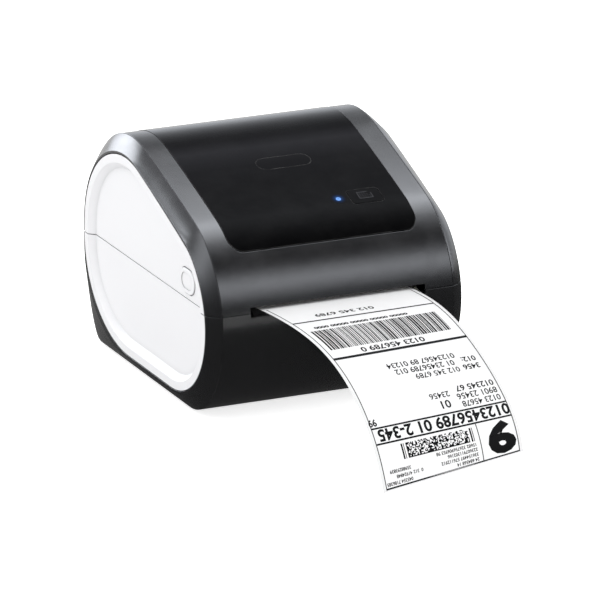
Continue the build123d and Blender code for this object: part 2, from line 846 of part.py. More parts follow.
def paper_guide():
    """The bent plate that leads the web up to the platen."""
    start, corner = web_start()
    top = share(corner, start, 0.32)
    points = [(corner[0] - 3.2, corner[1] - 1.6), (corner[0] + 0.6, corner[1] - 1.6),
              (top[0] + 1.0, top[1] - 1.4)]
    sheet = trace(Polyline(*points), 1.2)
    return extrude(Plane.YZ.offset(-frame_half) * sheet, 2 * frame_half)


def media_sensor():
    start, corner = web_start()
    sensor = block((14, 26), (corner[0] - 3, corner[0] + 5), (corner[1] - 9, corner[1] - 2.2))
    guide = paper_guide()
    return sensor - guide


def striker(side):
    """The catch on the base that the cover's latch points under."""
    low, high = sorted((side * (shell_half - wall - striker_reach), side * (shell_half - wall)))
    return block((low, high), (release_y - 7, release_y + 7), (parting_z - 8, parting_z - 1))


def main_board():
    x_span, y_span = board_spans()
    board = block(x_span, y_span, (board_z, board_z + board_thick))
    for x, y in board_holes():
        board -= rod_z(x, y, 0, 30, 1.2)
    top = board_z + board_thick
    middle = (y_span[0] + y_span[1]) / 2
    chips = [(-10, middle, 14, 14, 1.4), (18, middle - 8, 10, 6, 1.2), (-30, middle + 20, 8, 8, 1.2),
             (30, middle + 22, 12, 9, 1.6), (-32, middle - 26, 16, 5, 4.5), (6, middle - 30, 22, 4.5, 4.5)]
    for x, y, width, depth, height in chips:
        board += block((x - width / 2, x + width / 2), (y - depth / 2, y + depth / 2), (top, top + height))
    for x in (34, 34 - 9, 34 - 18):
        board += rod_z(x, middle + 6, top, top + 5.5, 3.2)
    return board


def rear_port_plate():
    low, high = port_span[0] + 0.2, port_span[1] - 0.2
    plate = block((low, high), (rear_y - 2.0, rear_y - 0.4), (port_low_z + 0.2, port_high_z - 0.2))
    plate -= block((usb_x - 6.3, usb_x + 6.3), (rear_y - 5, rear_y + 1), (board_top - 0.3, board_top + 11.3))
    plate -= rod_y(jack_x, board_top + 5.5, rear_y - 5, rear_y + 1, 5.4)
    return plate - block((switch_x - 10.2, switch_x + 10.2), (rear_y - 5, rear_y + 1), switch_z_span(0.2))


def rod_y(x, z, low_y, high_y, radius):
    """A round bar along Y."""
    return Pos(x, (low_y + high_y) / 2, z) * Rot(90, 0, 0) * Cylinder(radius, high_y - low_y)


board_top = board_z + board_thick
usb_x, jack_x, switch_x = 6.0, -16.0, 36.0


def switch_z_span(extra):
    return (board_top + 4 - extra, board_top + 17 + extra)


def usb_socket():
    """A square-ended data socket, open to the rear, with its tongue."""
    low, high = board_top, board_top + 11
    body = block((usb_x - 6, usb_x + 6), (rear_y - 17, rear_y - 0.8), (low, high))
    body -= block((usb_x - 4.3, usb_x + 4.3), (rear_y - 13, rear_y), (low + 1.6, high - 1.6))
    return body + block((usb_x - 2.8, usb_x + 2.8), (rear_y - 13.5, rear_y - 3), (low + 3.9, low + 7.1))


def power_socket():
    """A round direct-current inlet with its centre pin."""
    z = board_top + 5.5
    body = block((jack_x - 5.5, jack_x + 5.5), (rear_y - 17, rear_y - 4), (board_top, board_top + 11))
    body += rod_y(jack_x, z, rear_y - 4, rear_y - 0.6, 5.2)
    body -= rod_y(jack_x, z, rear_y - 13, rear_y, 3.2)
    return body + rod_y(jack_x, z, rear_y - 13.5, rear_y - 3, 1.1)


def switch_body():
    z_span = switch_z_span(0)
    body = block((switch_x - 10, switch_x + 10), (rear_y - 16, rear_y - 0.5), z_span)
    body -= block((switch_x - 8.6, switch_x + 8.6), (rear_y - 12, rear_y), (z_span[0] + 1.4, z_span[1] - 1.4))
    middle = (z_span[0] + z_span[1]) / 2
    body += [block((x - 0.8, x + 0.8), (rear_y - 20, rear_y - 15.9), (middle - 2, middle + 2))
             for x in (switch_x - 5, switch_x + 5)]
    return body


def switch_pins():
    """The hollows of the switch body that carry the rocker's pivot."""
    middle = sum(switch_z_span(0)) / 2
    return Pos(switch_x, rocker_y, middle) * Cylinder(1.2, 13.0 - 0.8)


rocker_y = rear_y - 4.0
rocker_tilt = 9.0


def power_rocker():
    """The rocker at rest in its off position, its two faces meeting in a shallow V."""
    middle = sum(switch_z_span(0)) / 2
    half_height = (13.0 - 2.8) / 2 - 0.25
    dip = 8.2 * math.tan(math.radians(rocker_tilt))
    top = [(-8.2, 0.6 + dip), (0, 0.6), (8.2, 0.6 + dip)]
    points = top + [(7.6, -1.2), (2.4, -4.2), (-2.4, -4.2), (-7.6, -1.2)]
    plan = make_face(Polyline(*points, close=True))
    body = extrude(Plane((switch_x, rocker_y, middle - half_height)) * plan, 2 * half_height)
    body -= Pos(switch_x, rocker_y, middle) * Cylinder(1.2 + running_gap, 40)
    return body.rotate(Axis((switch_x, rocker_y, middle), (0, 0, 1)), rocker_tilt)


# ---------------------------------------------------------------- inside the cover
def head_bracket():
    """The steel channel that carries the print head on its two posts."""
    half = bracket_half
    low_y, high_y = platen_y - 3, platen_y + 10
    bracket = block((-half, half), (low_y, high_y), (bracket_z - 1.6, bracket_z))
    bracket += block((-half, half), (high_y - 1.6, high_y), (bracket_z - 8, bracket_z))
    for side in (-1, 1):
        bracket -= rod_z(side * post_x, post_y, 0, 300, 1.4)
        x = sorted((side * (half - 1.6), side * half))
        ear = block(x, (low_y, high_y), (strip_z + 4, bracket_z))
        bracket += ear - rod_x(-100, 100, platen_y + 6, strip_z + 8, 1.5)
    return bracket


def bracket_screws():
    return group([screw_up(s * post_x, post_y, bracket_z - 1.6, 7.0) for s in (-1, 1)])


def print_head():
    """The ceramic strip's finned carrier, held up against its stop by the platen."""
    half = label_width / 2 + 1
    low = strip_z + label_thick / 2 + 0.5
    head = block((-half, half), (platen_y - 5, platen_y + 7), (low + 1.2, low + 5.0))
    head += block((-half, half), (platen_y - 5, platen_y - 3.5), (low + 5.0, low + 9.0))
    head += block((-half, half), (platen_y + 5.5, platen_y + 7), (low + 5.0, low + 9.0))
    for index in range(9):
        x = -40 + index * 10
        if abs(abs(x) - spring_x) > 6:
            head += block((x - 0.8, x + 0.8), (platen_y - 3.5, platen_y + 5.5), (low + 5.0, low + 8.0))
    return head


def heater_strip():
    half = label_width / 2 + 1
    low = strip_z + label_thick / 2 + 0.5
    return block((-half, half), (platen_y - 4.5, platen_y + 4.5), (low, low + 1.2))


spring_x = 25.0


def spring_tube(low_z, high_z, x, y):
    """The outer shape of a coil spring along Z."""
    return rod_z(x, y, low_z, high_z, 3.0) - rod_z(x, y, low_z - 1, high_z + 1, 2.2)


def head_springs():
    low = strip_z + label_thick / 2 + 0.5 + 5.0
    return group([spring_tube(low, bracket_z - 1.6, s * spring_x, platen_y + 1) for s in (-1, 1)])


def tear_bar():
    """The toothed steel strip along the slot's upper edge."""
    low, high = parting_z + slot_height / 2 - 0.4, parting_z + slot_height / 2 + 6
    bar = block((-label_width / 2 - 3, label_width / 2 + 3), (front_y + 6.0, front_y + 6.8), (low, high))
    pitch = 2.4
    count = int(label_width / pitch)
    teeth = []
    for index in range(count + 1):
        x = (index - count / 2) * pitch
        left, tip, right = (x - pitch / 2, low - 1), (x, low + 1.1), (x + pitch / 2, low - 1)
        notch = make_face(Polyline(left, tip, right, close=True))
        teeth.append(extrude(Plane.XZ.offset(-front_y - 7.5) * notch, 2.5))
    return bar - teeth


def button_board():
    middle, half = button_board_x()
    plane = slope_plane(button_y, middle).offset(-board_depth)
    board = extrude(plane * Rectangle(2 * half, 18), -board_thick)
    switch = slope_plane(button_y, feed_button_x).offset(-board_depth)
    board += extrude(switch * Rectangle(6, 6), 3.2)
    board += extrude(switch * Circle(1.7), 4.0)
    lamp = slope_plane(button_y, lamp_x).offset(-board_depth)
    return board + extrude(lamp * Rectangle(3, 3), 1.6)


def feed_button():
    plane = slope_plane(button_y, feed_button_x)
    width, height = feed_button_size
    cap = extrude(plane.offset(-3.4) * RectangleRounded(width, height, 2.5), 3.4 + window_proud + 0.25)
    cap = fillet(cap.faces().sort_by(Axis(plane.origin, plane.z_dir))[-1].edges(), 0.5)
    cap += extrude(plane.offset(-4.4) * RectangleRounded(width + 2.6, height + 2.6, 3.2), 1.0)
    return cap - extrude(plane.offset(-4.4) * Rectangle(width - 5, height - 5), 2.8) + extrude(
        plane.offset(-4.2 + 0.1) * Circle(1.6), 3.0)


def lamp_lens():
    lens = lamp_bar(lamp_radius - 0.05, -7.2, window_proud + 0.2)
    return lens


def release_button():
    """The cap in the right-hand side panel, dished like the panel round it."""
    outer = release_slug(cheek_inner - 6, panel_outer - dish_depth + 0.9, 0)
    top = outer.faces().sort_by(Axis.X)[-1]
    outer = fillet(top.edges(), 0.7)
    scoop = release_slug(panel_outer - dish_depth + 0.4, panel_outer, -2.6)
    return outer - scoop


def latch_slide():
    """The plate behind the button, with a hook that reaches down into the base."""
    face_x = cheek_inner - 6
    plate = block((face_x - 4, face_x), (release_y - 9, release_y + 9), (release_z - 8, release_z + 9))
    hook_top = release_z - 8
    tip = shell_half - wall - striker_reach - latch_gap
    hook = block((face_x - 4, tip - 1.0), (release_y - 4, release_y + 4), (parting_z - 12, hook_top))
    barb = block((face_x - 4, tip), (release_y - 4, release_y + 4), (parting_z - 12, parting_z - 8.4))
    return plate + hook + barb


def release_spring():
    low_x, high_x = spring_rib_x + 1, cheek_inner - 10
    tube = rod_x(low_x, high_x, release_y, release_z, 3.6)
    return tube - rod_x(low_x - 1, high_x + 1, release_y, release_z, 2.8)


# ---------------------------------------------------------------- write everything
def main():
    os.makedirs("parts", exist_ok=True)
    save(cover_shell(), "cover_shell")
    save(base_shell(), "base_shell")
    for name, part in (("upper_cheek", upper_cheek()), ("lower_cheek", cheek(below_parting())),
                       ("upper_side_panel", upper_panel()),
                       ("lower_side_panel", side_panel(below_parting())),
                       ("release_button", release_button()), ("latch_slide", latch_slide()),
                       ("release_spring", release_spring())):
        save(part, f"right_{name}")
        save(mirror(part, Plane.YZ), f"left_{name}")
    save(window_panel(), "window_panel")
    save(badge_body(0, 0.5), "badge_plate")
    save(lamp_lens(), "status_lens")
    save(feed_button(), "feed_button")
    save(button_board(), "button_board")
    save(tear_bar(), "tear_bar")
    save(head_bracket(), "head_bracket")
    save(bracket_screws(), "bracket_screws")
    save(print_head(), "print_head_carrier")
    save(heater_strip(), "heater_strip")
    save(head_springs(), "head_springs")
    save(bottom_plate(), "bottom_plate")
    save(base_screws(), "base_screws")
    save(rubber_feet(), "rubber_feet")
    save(media_tray(), "media_tray")
    save(guide_pinion(), "guide_pinion")
    holder = roll_holder()
    save(holder, "right_roll_holder")
    save(holder.rotate(Axis((0, roll_y, 0), (0, 0, 1)), 180), "left_roll_holder")
    save(label_roll(), "label_roll")
    save(roll_core(), "roll_core")
    save(label_strip(), "label_strip")
    save(frame_plate(-1), "left_frame_plate")
    save(frame_plate(1), "right_frame_plate")
    save(frame_crossbar(), "frame_crossbar")
    save(platen_bushes(), "platen_bushes")
    save(platen_shaft_bar(), "platen_shaft")
    save(platen_roller(), "platen_roller")
    idler_angle = 180 - idler_drop
    save(gear_along_x(platen_teeth, mesh_angle(idler_angle, idler_teeth, idler_angle, platen_teeth),
                      gear_x, platen_y, platen_z, platen_shaft), "platen_gear")
    save(gear_along_x(idler_teeth, idler_angle, gear_x, idler_y, idler_z, 2.0 + running_gap), "idler_gear")
    save(gear_along_x(pinion_teeth, mesh_angle(idler_angle, idler_teeth, -pinion_drop, pinion_teeth),
                      gear_x, pinion_y, pinion_z, 1.5), "motor_pinion")
    save(idler_stud(), "idler_stud")
    save(stepper_motor(), "stepper_motor")
    save(motor_shaft(), "motor_shaft")
    save(paper_guide(), "paper_guide")
    save(media_sensor(), "media_sensor")
    save(group([striker(-1), striker(1)]), "latch_strikers")
    save(group([rod_x(s * ear_starts[0], s * (ear_starts[1] + ear_width), hinge_y, hinge_z, hinge_pin_radius)
                if s > 0 else
                rod_x(s * (ear_starts[1] + ear_width), s * ear_starts[0], hinge_y, hinge_z, hinge_pin_radius)
                for s in (-1, 1)]), "hinge_pins")
    save(main_board(), "main_board")
    board_screws = [screw(x, y, board_top, 4, radius=1.2, head_radius=2.4) for x, y in board_holes()]
    save(group(board_screws), "board_screws")
    save(rear_port_plate(), "rear_port_plate")
    save(usb_socket(), "data_socket")
    save(power_socket(), "power_socket")
    save(switch_body() + switch_pins(), "switch_body")
    save(power_rocker(), "power_rocker")
    print("front", front_y, "rear", rear_y, "hinge", hinge_y, hinge_z)


main()
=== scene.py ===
"""Looks of a desktop thermal label printer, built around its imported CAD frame.

Metres, +Z up, the label leaves towards -Y. The CAD nodes keep their shapes and get their
finishes here. The web of labels, the springs and the small marks are modelled here.
"""

from __future__ import annotations

import json
import logging
import math
import random
from dataclasses import dataclass, field
from enum import Enum
from functools import cached_property
from typing import Iterable, Optional, Sequence, Union

import bmesh
import bpy
import numpy as np
from mathutils import Matrix, Vector


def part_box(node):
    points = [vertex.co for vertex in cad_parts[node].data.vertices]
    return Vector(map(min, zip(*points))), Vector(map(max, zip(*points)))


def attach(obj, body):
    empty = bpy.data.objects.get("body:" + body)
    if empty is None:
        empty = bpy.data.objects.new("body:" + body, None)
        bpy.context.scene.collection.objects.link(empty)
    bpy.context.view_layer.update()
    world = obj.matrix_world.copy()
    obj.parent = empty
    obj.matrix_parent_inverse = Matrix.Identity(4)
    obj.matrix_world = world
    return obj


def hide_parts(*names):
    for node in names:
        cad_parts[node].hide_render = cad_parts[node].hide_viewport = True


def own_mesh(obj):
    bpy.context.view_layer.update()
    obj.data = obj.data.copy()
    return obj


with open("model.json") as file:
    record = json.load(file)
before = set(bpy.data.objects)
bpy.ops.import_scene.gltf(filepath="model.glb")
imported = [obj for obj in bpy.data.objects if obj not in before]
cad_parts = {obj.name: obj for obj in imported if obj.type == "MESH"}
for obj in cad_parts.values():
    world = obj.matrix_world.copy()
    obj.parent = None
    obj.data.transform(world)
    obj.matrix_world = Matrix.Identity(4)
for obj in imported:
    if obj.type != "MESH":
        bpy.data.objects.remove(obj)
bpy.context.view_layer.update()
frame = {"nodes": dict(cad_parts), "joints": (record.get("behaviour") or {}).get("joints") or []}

log = logging.getLogger("label_printer")

Socket = bpy.types.NodeSocket
Value = Union[float, int, Sequence[float], Socket]
Colour = tuple[float, float, float]
Point = tuple[float, float, float]
Place = tuple[float, float]

FLOAT = "NodeSocketFloat"
VECTOR = "NodeSocketVector"
DUST = (0.42, 0.41, 0.39, 1.0)


class Body(str, Enum):
    """The CAD bodies that modelled pieces ride on."""

    BASE = "base"
    COVER = "cover"
    FEED_KEY = "feed_key"


class Slot(str, Enum):
    """The record's material slots."""

    SATIN_BLACK = "satin_black"
    BEVEL_BLACK = "bevel_black"
    WHITE_PANEL = "white_panel"
    GLOSS_BLACK = "gloss_black"
    LAMP_BLUE = "lamp_blue"
    SOFT_RUBBER = "soft_rubber"
    INNER_PLASTIC = "inner_plastic"
    SHEET_STEEL = "sheet_steel"
    TURNED_STEEL = "turned_steel"
    GEAR_PLASTIC = "gear_plastic"
    CIRCUIT_GREEN = "circuit_green"
    HEAD_ALUMINIUM = "head_aluminium"
    HEAD_CERAMIC = "head_ceramic"
    LABEL_PAPER = "label_paper"
    CORE_BOARD = "core_board"


# ------------------------------------------------------------------ node trees
class Graph:
    """Lays nodes and links in one node tree."""

    def __init__(self, tree: bpy.types.NodeTree) -> None:
        """Keeps the tree and empties it.

        Args:
            tree: the node tree to fill.
        """
        self.tree = tree
        tree.nodes.clear()

    def node(self, kind: str, inputs: Optional[dict] = None, **settings: object) -> bpy.types.Node:
        """Adds one node.

        Args:
            kind: the node's type without its ShaderNode prefix.
            inputs: values or sockets by input name or index.
            **settings: properties of the node.

        Returns:
            The new node.
        """
        made = self.tree.nodes.new("ShaderNode" + kind)
        for name, value in settings.items():
            setattr(made, name, value)
        for key, value in (inputs or {}).items():
            if isinstance(value, Socket):
                self.link(value, made.inputs[key])
            else:
                made.inputs[key].default_value = value
        return made

    def link(self, value: Socket, socket: Socket) -> None:
        """Links an output to an input."""
        self.tree.links.new(value, socket)

    def here(self) -> Socket:
        """The place on the object, in its own metres."""
        return self.node("TexCoord").outputs["Object"]

    def noise(
        self, at: Socket, scale: Value, detail: float, roughness: float = 0.5, distortion: float = 0.0
    ) -> Socket:
        """Adds a noise texture.

        Args:
            at: the place that is looked up.
            scale: how many waves there are to a metre.
            detail: how many finer layers it has.
            roughness: how strong those are.
            distortion: how far it is bent.

        Returns:
            Its value.
        """
        inputs = {"Vector": at, "Scale": scale, "Detail": detail, "Roughness": roughness}
        return self.node("TexNoise", {**inputs, "Distortion": distortion}).outputs[0]

    def math(self, operation: str, *values: Value, clamp: bool = False) -> Socket:
        """Adds a Math node.

        Args:
            operation: its operation, such as "MULTIPLY".
            *values: its inputs in order.
            clamp: whether the result stays between 0 and 1.

        Returns:
            The node's output.
        """
        made = self.node("Math", dict(enumerate(values)), operation=operation, use_clamp=clamp)
        return made.outputs[0]

    def ramp(self, factor: Value, stops: Sequence[Place]) -> Socket:
        """Adds a grey colour ramp.

        Args:
            factor: what goes in.
            stops: (place, value) pairs, places from 0 to 1.

        Returns:
            The ramp's value as a colour socket.
        """
        made = self.node("ValToRGB", {0: factor})
        made.color_ramp.interpolation = "LINEAR"
        elements = made.color_ramp.elements
        while len(elements) < len(stops):
            elements.new(0.5)
        for element, (place, value) in zip(elements, stops):
            element.position = place
            element.color = (value, value, value, 1.0)
        return made.outputs[0]

    def mix(self, factor: Value, first: Value, second: Value, blend: str = "MIX") -> Socket:
        """Adds a colour Mix node.

        Args:
            factor: the share of the second colour.
            first: the first colour.
            second: the second colour.
            blend: the blend type.

        Returns:
            The mixed colour.
        """
        made = self.node("Mix", data_type="RGBA", blend_type=blend)
        for socket, value in ((made.inputs[0], factor), (made.inputs[6], first), (made.inputs[7], second)):
            if isinstance(value, Socket):
                self.link(value, socket)
            else:
                socket.default_value = value
        return made.outputs[2]

    def remap(self, value: Value, low: float, high: float, to_low: Value, to_high: Value) -> Socket:
        """Maps a value from one range to another, held at its ends.

        Args:
            value: what is mapped.
            low: where the first range starts.
            high: where the first range ends.
            to_low: the result at low.
            to_high: the result at high.

        Returns:
            The mapped value.
        """
        made = self.node("MapRange", {0: value, 1: low, 2: high, 3: to_low, 4: to_high})
        return made.outputs[0]


def grey(value: float) -> tuple[float, float, float, float]:
    """A neutral colour of that value."""
    return (value, value, value, 1.0)


class EffectGroups:
    """The shader node groups that several finishes share, each built when first asked for."""

    @staticmethod
    def _start(name: str, inputs: dict[str, float], outputs: dict[str, str]) -> tuple[Graph, dict, dict]:
        """Starts a group with its sockets.

        Args:
            name: the group's name.
            inputs: float inputs with their usual values.
            outputs: socket types by output name.

        Returns:
            The graph, its inputs by name, and the output node's inputs by name.
        """
        tree = bpy.data.node_groups.new(name, "ShaderNodeTree")
        for label, usual in inputs.items():
            made = tree.interface.new_socket(name=label, in_out="INPUT", socket_type=FLOAT)
            made.default_value = usual
        for label, kind in outputs.items():
            tree.interface.new_socket(name=label, in_out="OUTPUT", socket_type=kind)
        graph = Graph(tree)
        entry = tree.nodes.new("NodeGroupInput")
        leave = tree.nodes.new("NodeGroupOutput")
        return graph, {k: entry.outputs[k] for k in inputs}, {k: leave.inputs[k] for k in outputs}

    @cached_property
    def grain(self) -> bpy.types.NodeTree:
        """The fine spark-eroded texture of moulded plastic, with slow changes of gloss.

        Returns:
            The group: Scale, Roughness and Spread in; Height and Roughness out.
        """
        usual = {"Scale": 900.0, "Roughness": 0.4, "Spread": 0.08}
        g, has, gives = self._start("Moulded Grain", usual, {"Height": FLOAT, "Roughness": FLOAT})
        at = g.here()
        fine = g.noise(at, has["Scale"], 3.0, 0.6)
        pits = g.node("TexVoronoi", {"Vector": at, "Scale": g.math("MULTIPLY", has["Scale"], 1.7)})
        height = g.math("ADD", fine, g.math("MULTIPLY", pits.outputs[0], 0.5))
        centred = g.math("SUBTRACT", g.noise(at, 22.0, 4.0, 0.55), 0.5)
        rough = g.math("ADD", has["Roughness"], g.math("MULTIPLY", centred, has["Spread"]), clamp=True)
        g.link(height, gives["Height"])
        g.link(rough, gives["Roughness"])
        return g.tree

    @cached_property
    def dust(self) -> bpy.types.NodeTree:
        """Dust on faces that look up, thicker in patches, with single specks.

        Returns:
            The group: Amount and Specks in; Mask out.
        """
        g, has, gives = self._start("Settled Dust", {"Amount": 0.1, "Specks": 0.5}, {"Mask": FLOAT})
        at = g.here()
        up = g.node("SeparateXYZ", {0: g.node("NewGeometry").outputs["Normal"]}).outputs[2]
        facing = g.remap(up, 0.1, 0.95, 0.0, 1.0)
        cloud = g.noise(at, 35.0, 6.0, 0.7)
        patch = g.remap(cloud, 0.42, 0.75, 0.15, 1.0)
        dots = g.node("TexVoronoi", {"Vector": at, "Scale": 520.0, "Randomness": 1.0})
        chance = g.noise(at, 60.0, 1.0)
        size = g.remap(chance, 0.45, 0.7, 0.0, 0.16)
        speck = g.math("LESS_THAN", dots.outputs[0], size)
        total = g.math("ADD", patch, g.math("MULTIPLY", speck, has["Specks"]))
        mask = g.math("MULTIPLY", g.math("MULTIPLY", total, facing), has["Amount"], clamp=True)
        g.link(mask, gives["Mask"])
        return g.tree

    @cached_property
    def edges(self) -> bpy.types.NodeTree:
        """The rounding of a moulded edge, and where hands have polished it, a mask that the finishes also
        use to paint a highlight along edges.

        Returns:
            The group: Radius and Amount in; Mask and Normal out.
        """
        usual = {"Radius": 0.0004, "Amount": 0.5}
        g, has, gives = self._start("Edge Wear And Highlight", usual, {"Mask": FLOAT, "Normal": VECTOR})
        round_off = g.node("Bevel", {"Radius": has["Radius"]}, samples=4).outputs[0]
        normal = g.node("NewGeometry").outputs["Normal"]
        same = g.node("VectorMath", {0: round_off, 1: normal}, operation="DOT_PRODUCT").outputs["Value"]
        edge = g.remap(same, 0.995, 0.75, 0.0, 1.0)
        at = g.here()
        broken = g.noise(at, 160.0, 5.0, 0.65)
        share = g.math("MULTIPLY", g.remap(broken, 0.35, 0.65, 0.2, 1.0), has["Amount"])
        g.link(g.math("MULTIPLY", edge, share, clamp=True), gives["Mask"])
        g.link(round_off, gives["Normal"])
        return g.tree

    @cached_property
    def handling(self) -> bpy.types.NodeTree:
        """Smudges of hands and fine wiping marks, as a change of roughness.

        Returns:
            The group: Smudge and Marks in; Roughness out, to be added.
        """
        g, has, gives = self._start("Handling Marks", {"Smudge": 0.1, "Marks": 0.05}, {"Roughness": FLOAT})
        at = g.here()
        blur = g.noise(at, 28.0, 3.0, distortion=1.2)
        smudge = g.math("MULTIPLY", g.remap(blur, 0.5, 0.72, 0.0, 1.0), has["Smudge"])
        along = g.node("Mapping", {0: at, 2: (0.0, 0.0, 0.6), 3: (30.0, 900.0, 900.0)}).outputs[0]
        wiped = g.noise(along, 1.0, 2.0)
        marks = g.math("MULTIPLY", g.remap(wiped, 0.58, 0.75, 0.0, 1.0), has["Marks"])
        g.link(g.math("ADD", smudge, marks), gives["Roughness"])
        return g.tree

    @cached_property
    def brushed(self) -> bpy.types.NodeTree:
        """Fine lines along one axis, as rolled or turned steel has.

        Returns:
            The group: Along X, Along Y, Along Z (lines per metre) in; Height and Shade out.
        """
        usual = {"Along X": 40.0, "Along Y": 2500.0, "Along Z": 2500.0}
        g, has, gives = self._start("Rolled Lines", usual, {"Height": FLOAT, "Shade": FLOAT})
        at = g.here()
        stretch = g.node("CombineXYZ", {0: has["Along X"], 1: has["Along Y"], 2: has["Along Z"]}).outputs[0]
        pulled = g.node("VectorMath", {0: at, 1: stretch}, operation="MULTIPLY").outputs[0]
        lines = g.noise(pulled, 1.0, 4.0, 0.7)
        stain = g.noise(at, 70.0, 3.0)
        shade = g.math("ADD", g.math("MULTIPLY", lines, 0.5), g.math("MULTIPLY", stain, 0.5))
        g.link(lines, gives["Height"])
        g.link(shade, gives["Shade"])
        return g.tree

    @cached_property
    def fibre(self) -> bpy.types.NodeTree:
        """The cloudy formation and fibres of paper or board.

        Returns:
            The group: Scale in; Height and Cloud out.
        """
        g, has, gives = self._start("Paper Fibre", {"Scale": 1400.0}, {"Height": FLOAT, "Cloud": FLOAT})
        at = g.here()
        g.link(g.noise(at, has["Scale"], 4.0, distortion=2.5), gives["Height"])
        g.link(g.noise(at, 140.0, 5.0, 0.6), gives["Cloud"])
        return g.tree


EFFECTS = EffectGroups()


class Shader:
    """One material with its Principled BSDF, to which the effects are joined."""

    def __init__(self, name: str, **plain: Value) -> None:
        """Makes the material.

        Args:
            name: the material's name.
            **plain: values of the shader's own sockets, with _ for a space.
        """
        self.material = bpy.data.materials.new(name)
        self.material.use_nodes = True
        self.graph = Graph(self.material.node_tree)
        self.bsdf = self.graph.node("BsdfPrincipled")
        out = self.graph.node("OutputMaterial")
        self.graph.link(self.bsdf.outputs[0], out.inputs["Surface"])
        for key, value in plain.items():
            self.bsdf.inputs[key.replace("_", " ")].default_value = value

    def group(self, tree: bpy.types.NodeTree, **values: Value) -> bpy.types.Node:
        """Places a shared group in the material.

        Args:
            tree: the group.
            **values: its inputs, with _ for a space.

        Returns:
            The group's node.
        """
        made = self.graph.node("Group", node_tree=tree)
        for key, value in values.items():
            made.inputs[key.replace("_", " ")].default_value = value
        return made

    def feed(self, socket: str, value: Socket) -> None:
        """Links a varying value to a socket of the shader."""
        self.graph.link(value, self.bsdf.inputs[socket])

    def bump(self, height: Socket, distance: float, normal: Optional[Socket] = None) -> None:
        """Gives the surface a fine relief.

        Args:
            height: the relief's height.
            distance: how deep it is, in metres.
            normal: the normal it starts from, if it isn't the surface's own.
        """
        inputs: dict = {"Height": height, "Distance": distance}
        if normal is not None:
            inputs["Normal"] = normal
        self.feed("Normal", self.graph.node("Bump", inputs).outputs[0])


@dataclass(frozen=True)
class MouldedPlastic:
    """Injection-moulded plastic with a fine grain."""

    name: str
    colour: Colour
    roughness: float = 0.4
    spread: float = 0.08
    grain: float = 900.0
    depth: float = 0.00001
    specular: float = 0.5
    edge_radius: float = 0.0004
    edge_shine: float = 0.3
    edge_colour: Colour = (0.1, 0.1, 0.1)
    dust: float = 0.04
    smudge: float = 0.05
    # Reach of a painted shade in grooves and recesses; 0 for none.
    crevice_shade: float = 0.0

    def build(self) -> bpy.types.Material:
        """Makes the material.

        Returns:
            The finished material.
        """
        s = Shader(self.name, Specular_IOR_Level=self.specular)
        g = s.graph
        grain = s.group(EFFECTS.grain, Scale=self.grain, Roughness=self.roughness, Spread=self.spread)
        dust = s.group(EFFECTS.dust, Amount=self.dust, Specks=0.6)
        edge = s.group(EFFECTS.edges, Radius=self.edge_radius, Amount=self.edge_shine)
        touch = s.group(EFFECTS.handling, Smudge=self.smudge, Marks=self.smudge * 0.4)
        # Edges take edge_colour: partly wear, partly a painted highlight along the edge.
        worn_and_highlit = g.mix(edge.outputs["Mask"], (*self.colour, 1.0), (*self.edge_colour, 1.0))
        base = g.mix(dust.outputs["Mask"], worn_and_highlit, DUST)
        # Painted shade: ambient occlusion darkens the base colour in grooves, seams and recesses.
        if self.crevice_shade:
            open_sky = g.node("AmbientOcclusion", {"Distance": self.crevice_shade}, samples=8).outputs["AO"]
            shade = g.remap(open_sky, 0.15, 0.95, 0.25, 1.0)
            base = g.mix(1.0, base, shade, "MULTIPLY")
        s.feed("Base Color", base)
        rough = g.math("ADD", grain.outputs["Roughness"], touch.outputs["Roughness"])
        rough = g.math("ADD", rough, g.math("MULTIPLY", dust.outputs["Mask"], 0.5), clamp=True)
        s.feed("Roughness", rough)
        s.bump(grain.outputs["Height"], self.depth, normal=edge.outputs["Normal"])
        return s.material


@dataclass(frozen=True)
class GlossPlastic:
    """Smoked black plastic of the window: a painted sheen lightens its base colour up its slope; polished
    over its rear roll.
    """

    name: str
    # Base colour along the slope, a painted sheen: lighter up the slope, darker again where the roll begins.
    painted_sheen_stops: tuple[Place, ...] = (
        (0.0, 0.001), (0.02, 0.004), (0.05, 0.0065), (0.07, 0.011), (0.088, 0.023), (0.097, 0.013),
        (0.103, 0.007),
    )
    lift: float = 20.0
    tint: Colour = (0.97, 0.98, 1.12)
    roughness: float = 0.13
    slope_coat: float = 0.055
    roll_coat: float = 1.0
    roll_start: float = 0.098
    roll_full: float = 0.122
    reach: float = 0.2
    edge_radius: float = 0.0005

    def build(self) -> bpy.types.Material:
        """Makes the material.

        Returns:
            The finished material.
        """
        s = Shader(self.name, Specular_IOR_Level=0.0, Roughness=0.5, Coat_Roughness=self.roughness)
        g = s.graph
        along = g.node("SeparateXYZ", {0: g.here()}).outputs[1]
        # Painted sheen: the base colour is made lighter up the slope, standing in for a reflection.
        stops = [(y / self.reach, shade * self.lift) for y, shade in self.painted_sheen_stops]
        painted_sheen_ramp = g.ramp(g.math("DIVIDE", along, self.reach), stops)
        base = g.mix(1.0, painted_sheen_ramp, (*(c / self.lift for c in self.tint), 1.0), "MULTIPLY")
        edge = s.group(EFFECTS.edges, Radius=self.edge_radius, Amount=0.9)
        dust = s.group(EFFECTS.dust, Amount=0.012, Specks=0.9)
        touch = s.group(EFFECTS.handling, Smudge=0.008, Marks=0.006)
        # Painted highlight: the window's edges are lightened to grey.
        base = g.mix(edge.outputs["Mask"], base, grey(0.22))
        s.feed("Base Color", g.mix(dust.outputs["Mask"], base, grey(0.4)))
        coat = g.remap(along, self.roll_start, self.roll_full, self.slope_coat, self.roll_coat)
        s.feed("Coat Weight", g.math("SUBTRACT", coat, touch.outputs["Roughness"], clamp=True))
        grain = s.group(EFFECTS.grain, Scale=500.0, Roughness=0.5, Spread=0.05)
        s.feed("Roughness", grain.outputs["Roughness"])
        s.bump(grain.outputs["Height"], 0.0000015, normal=edge.outputs["Normal"])
        return s.material


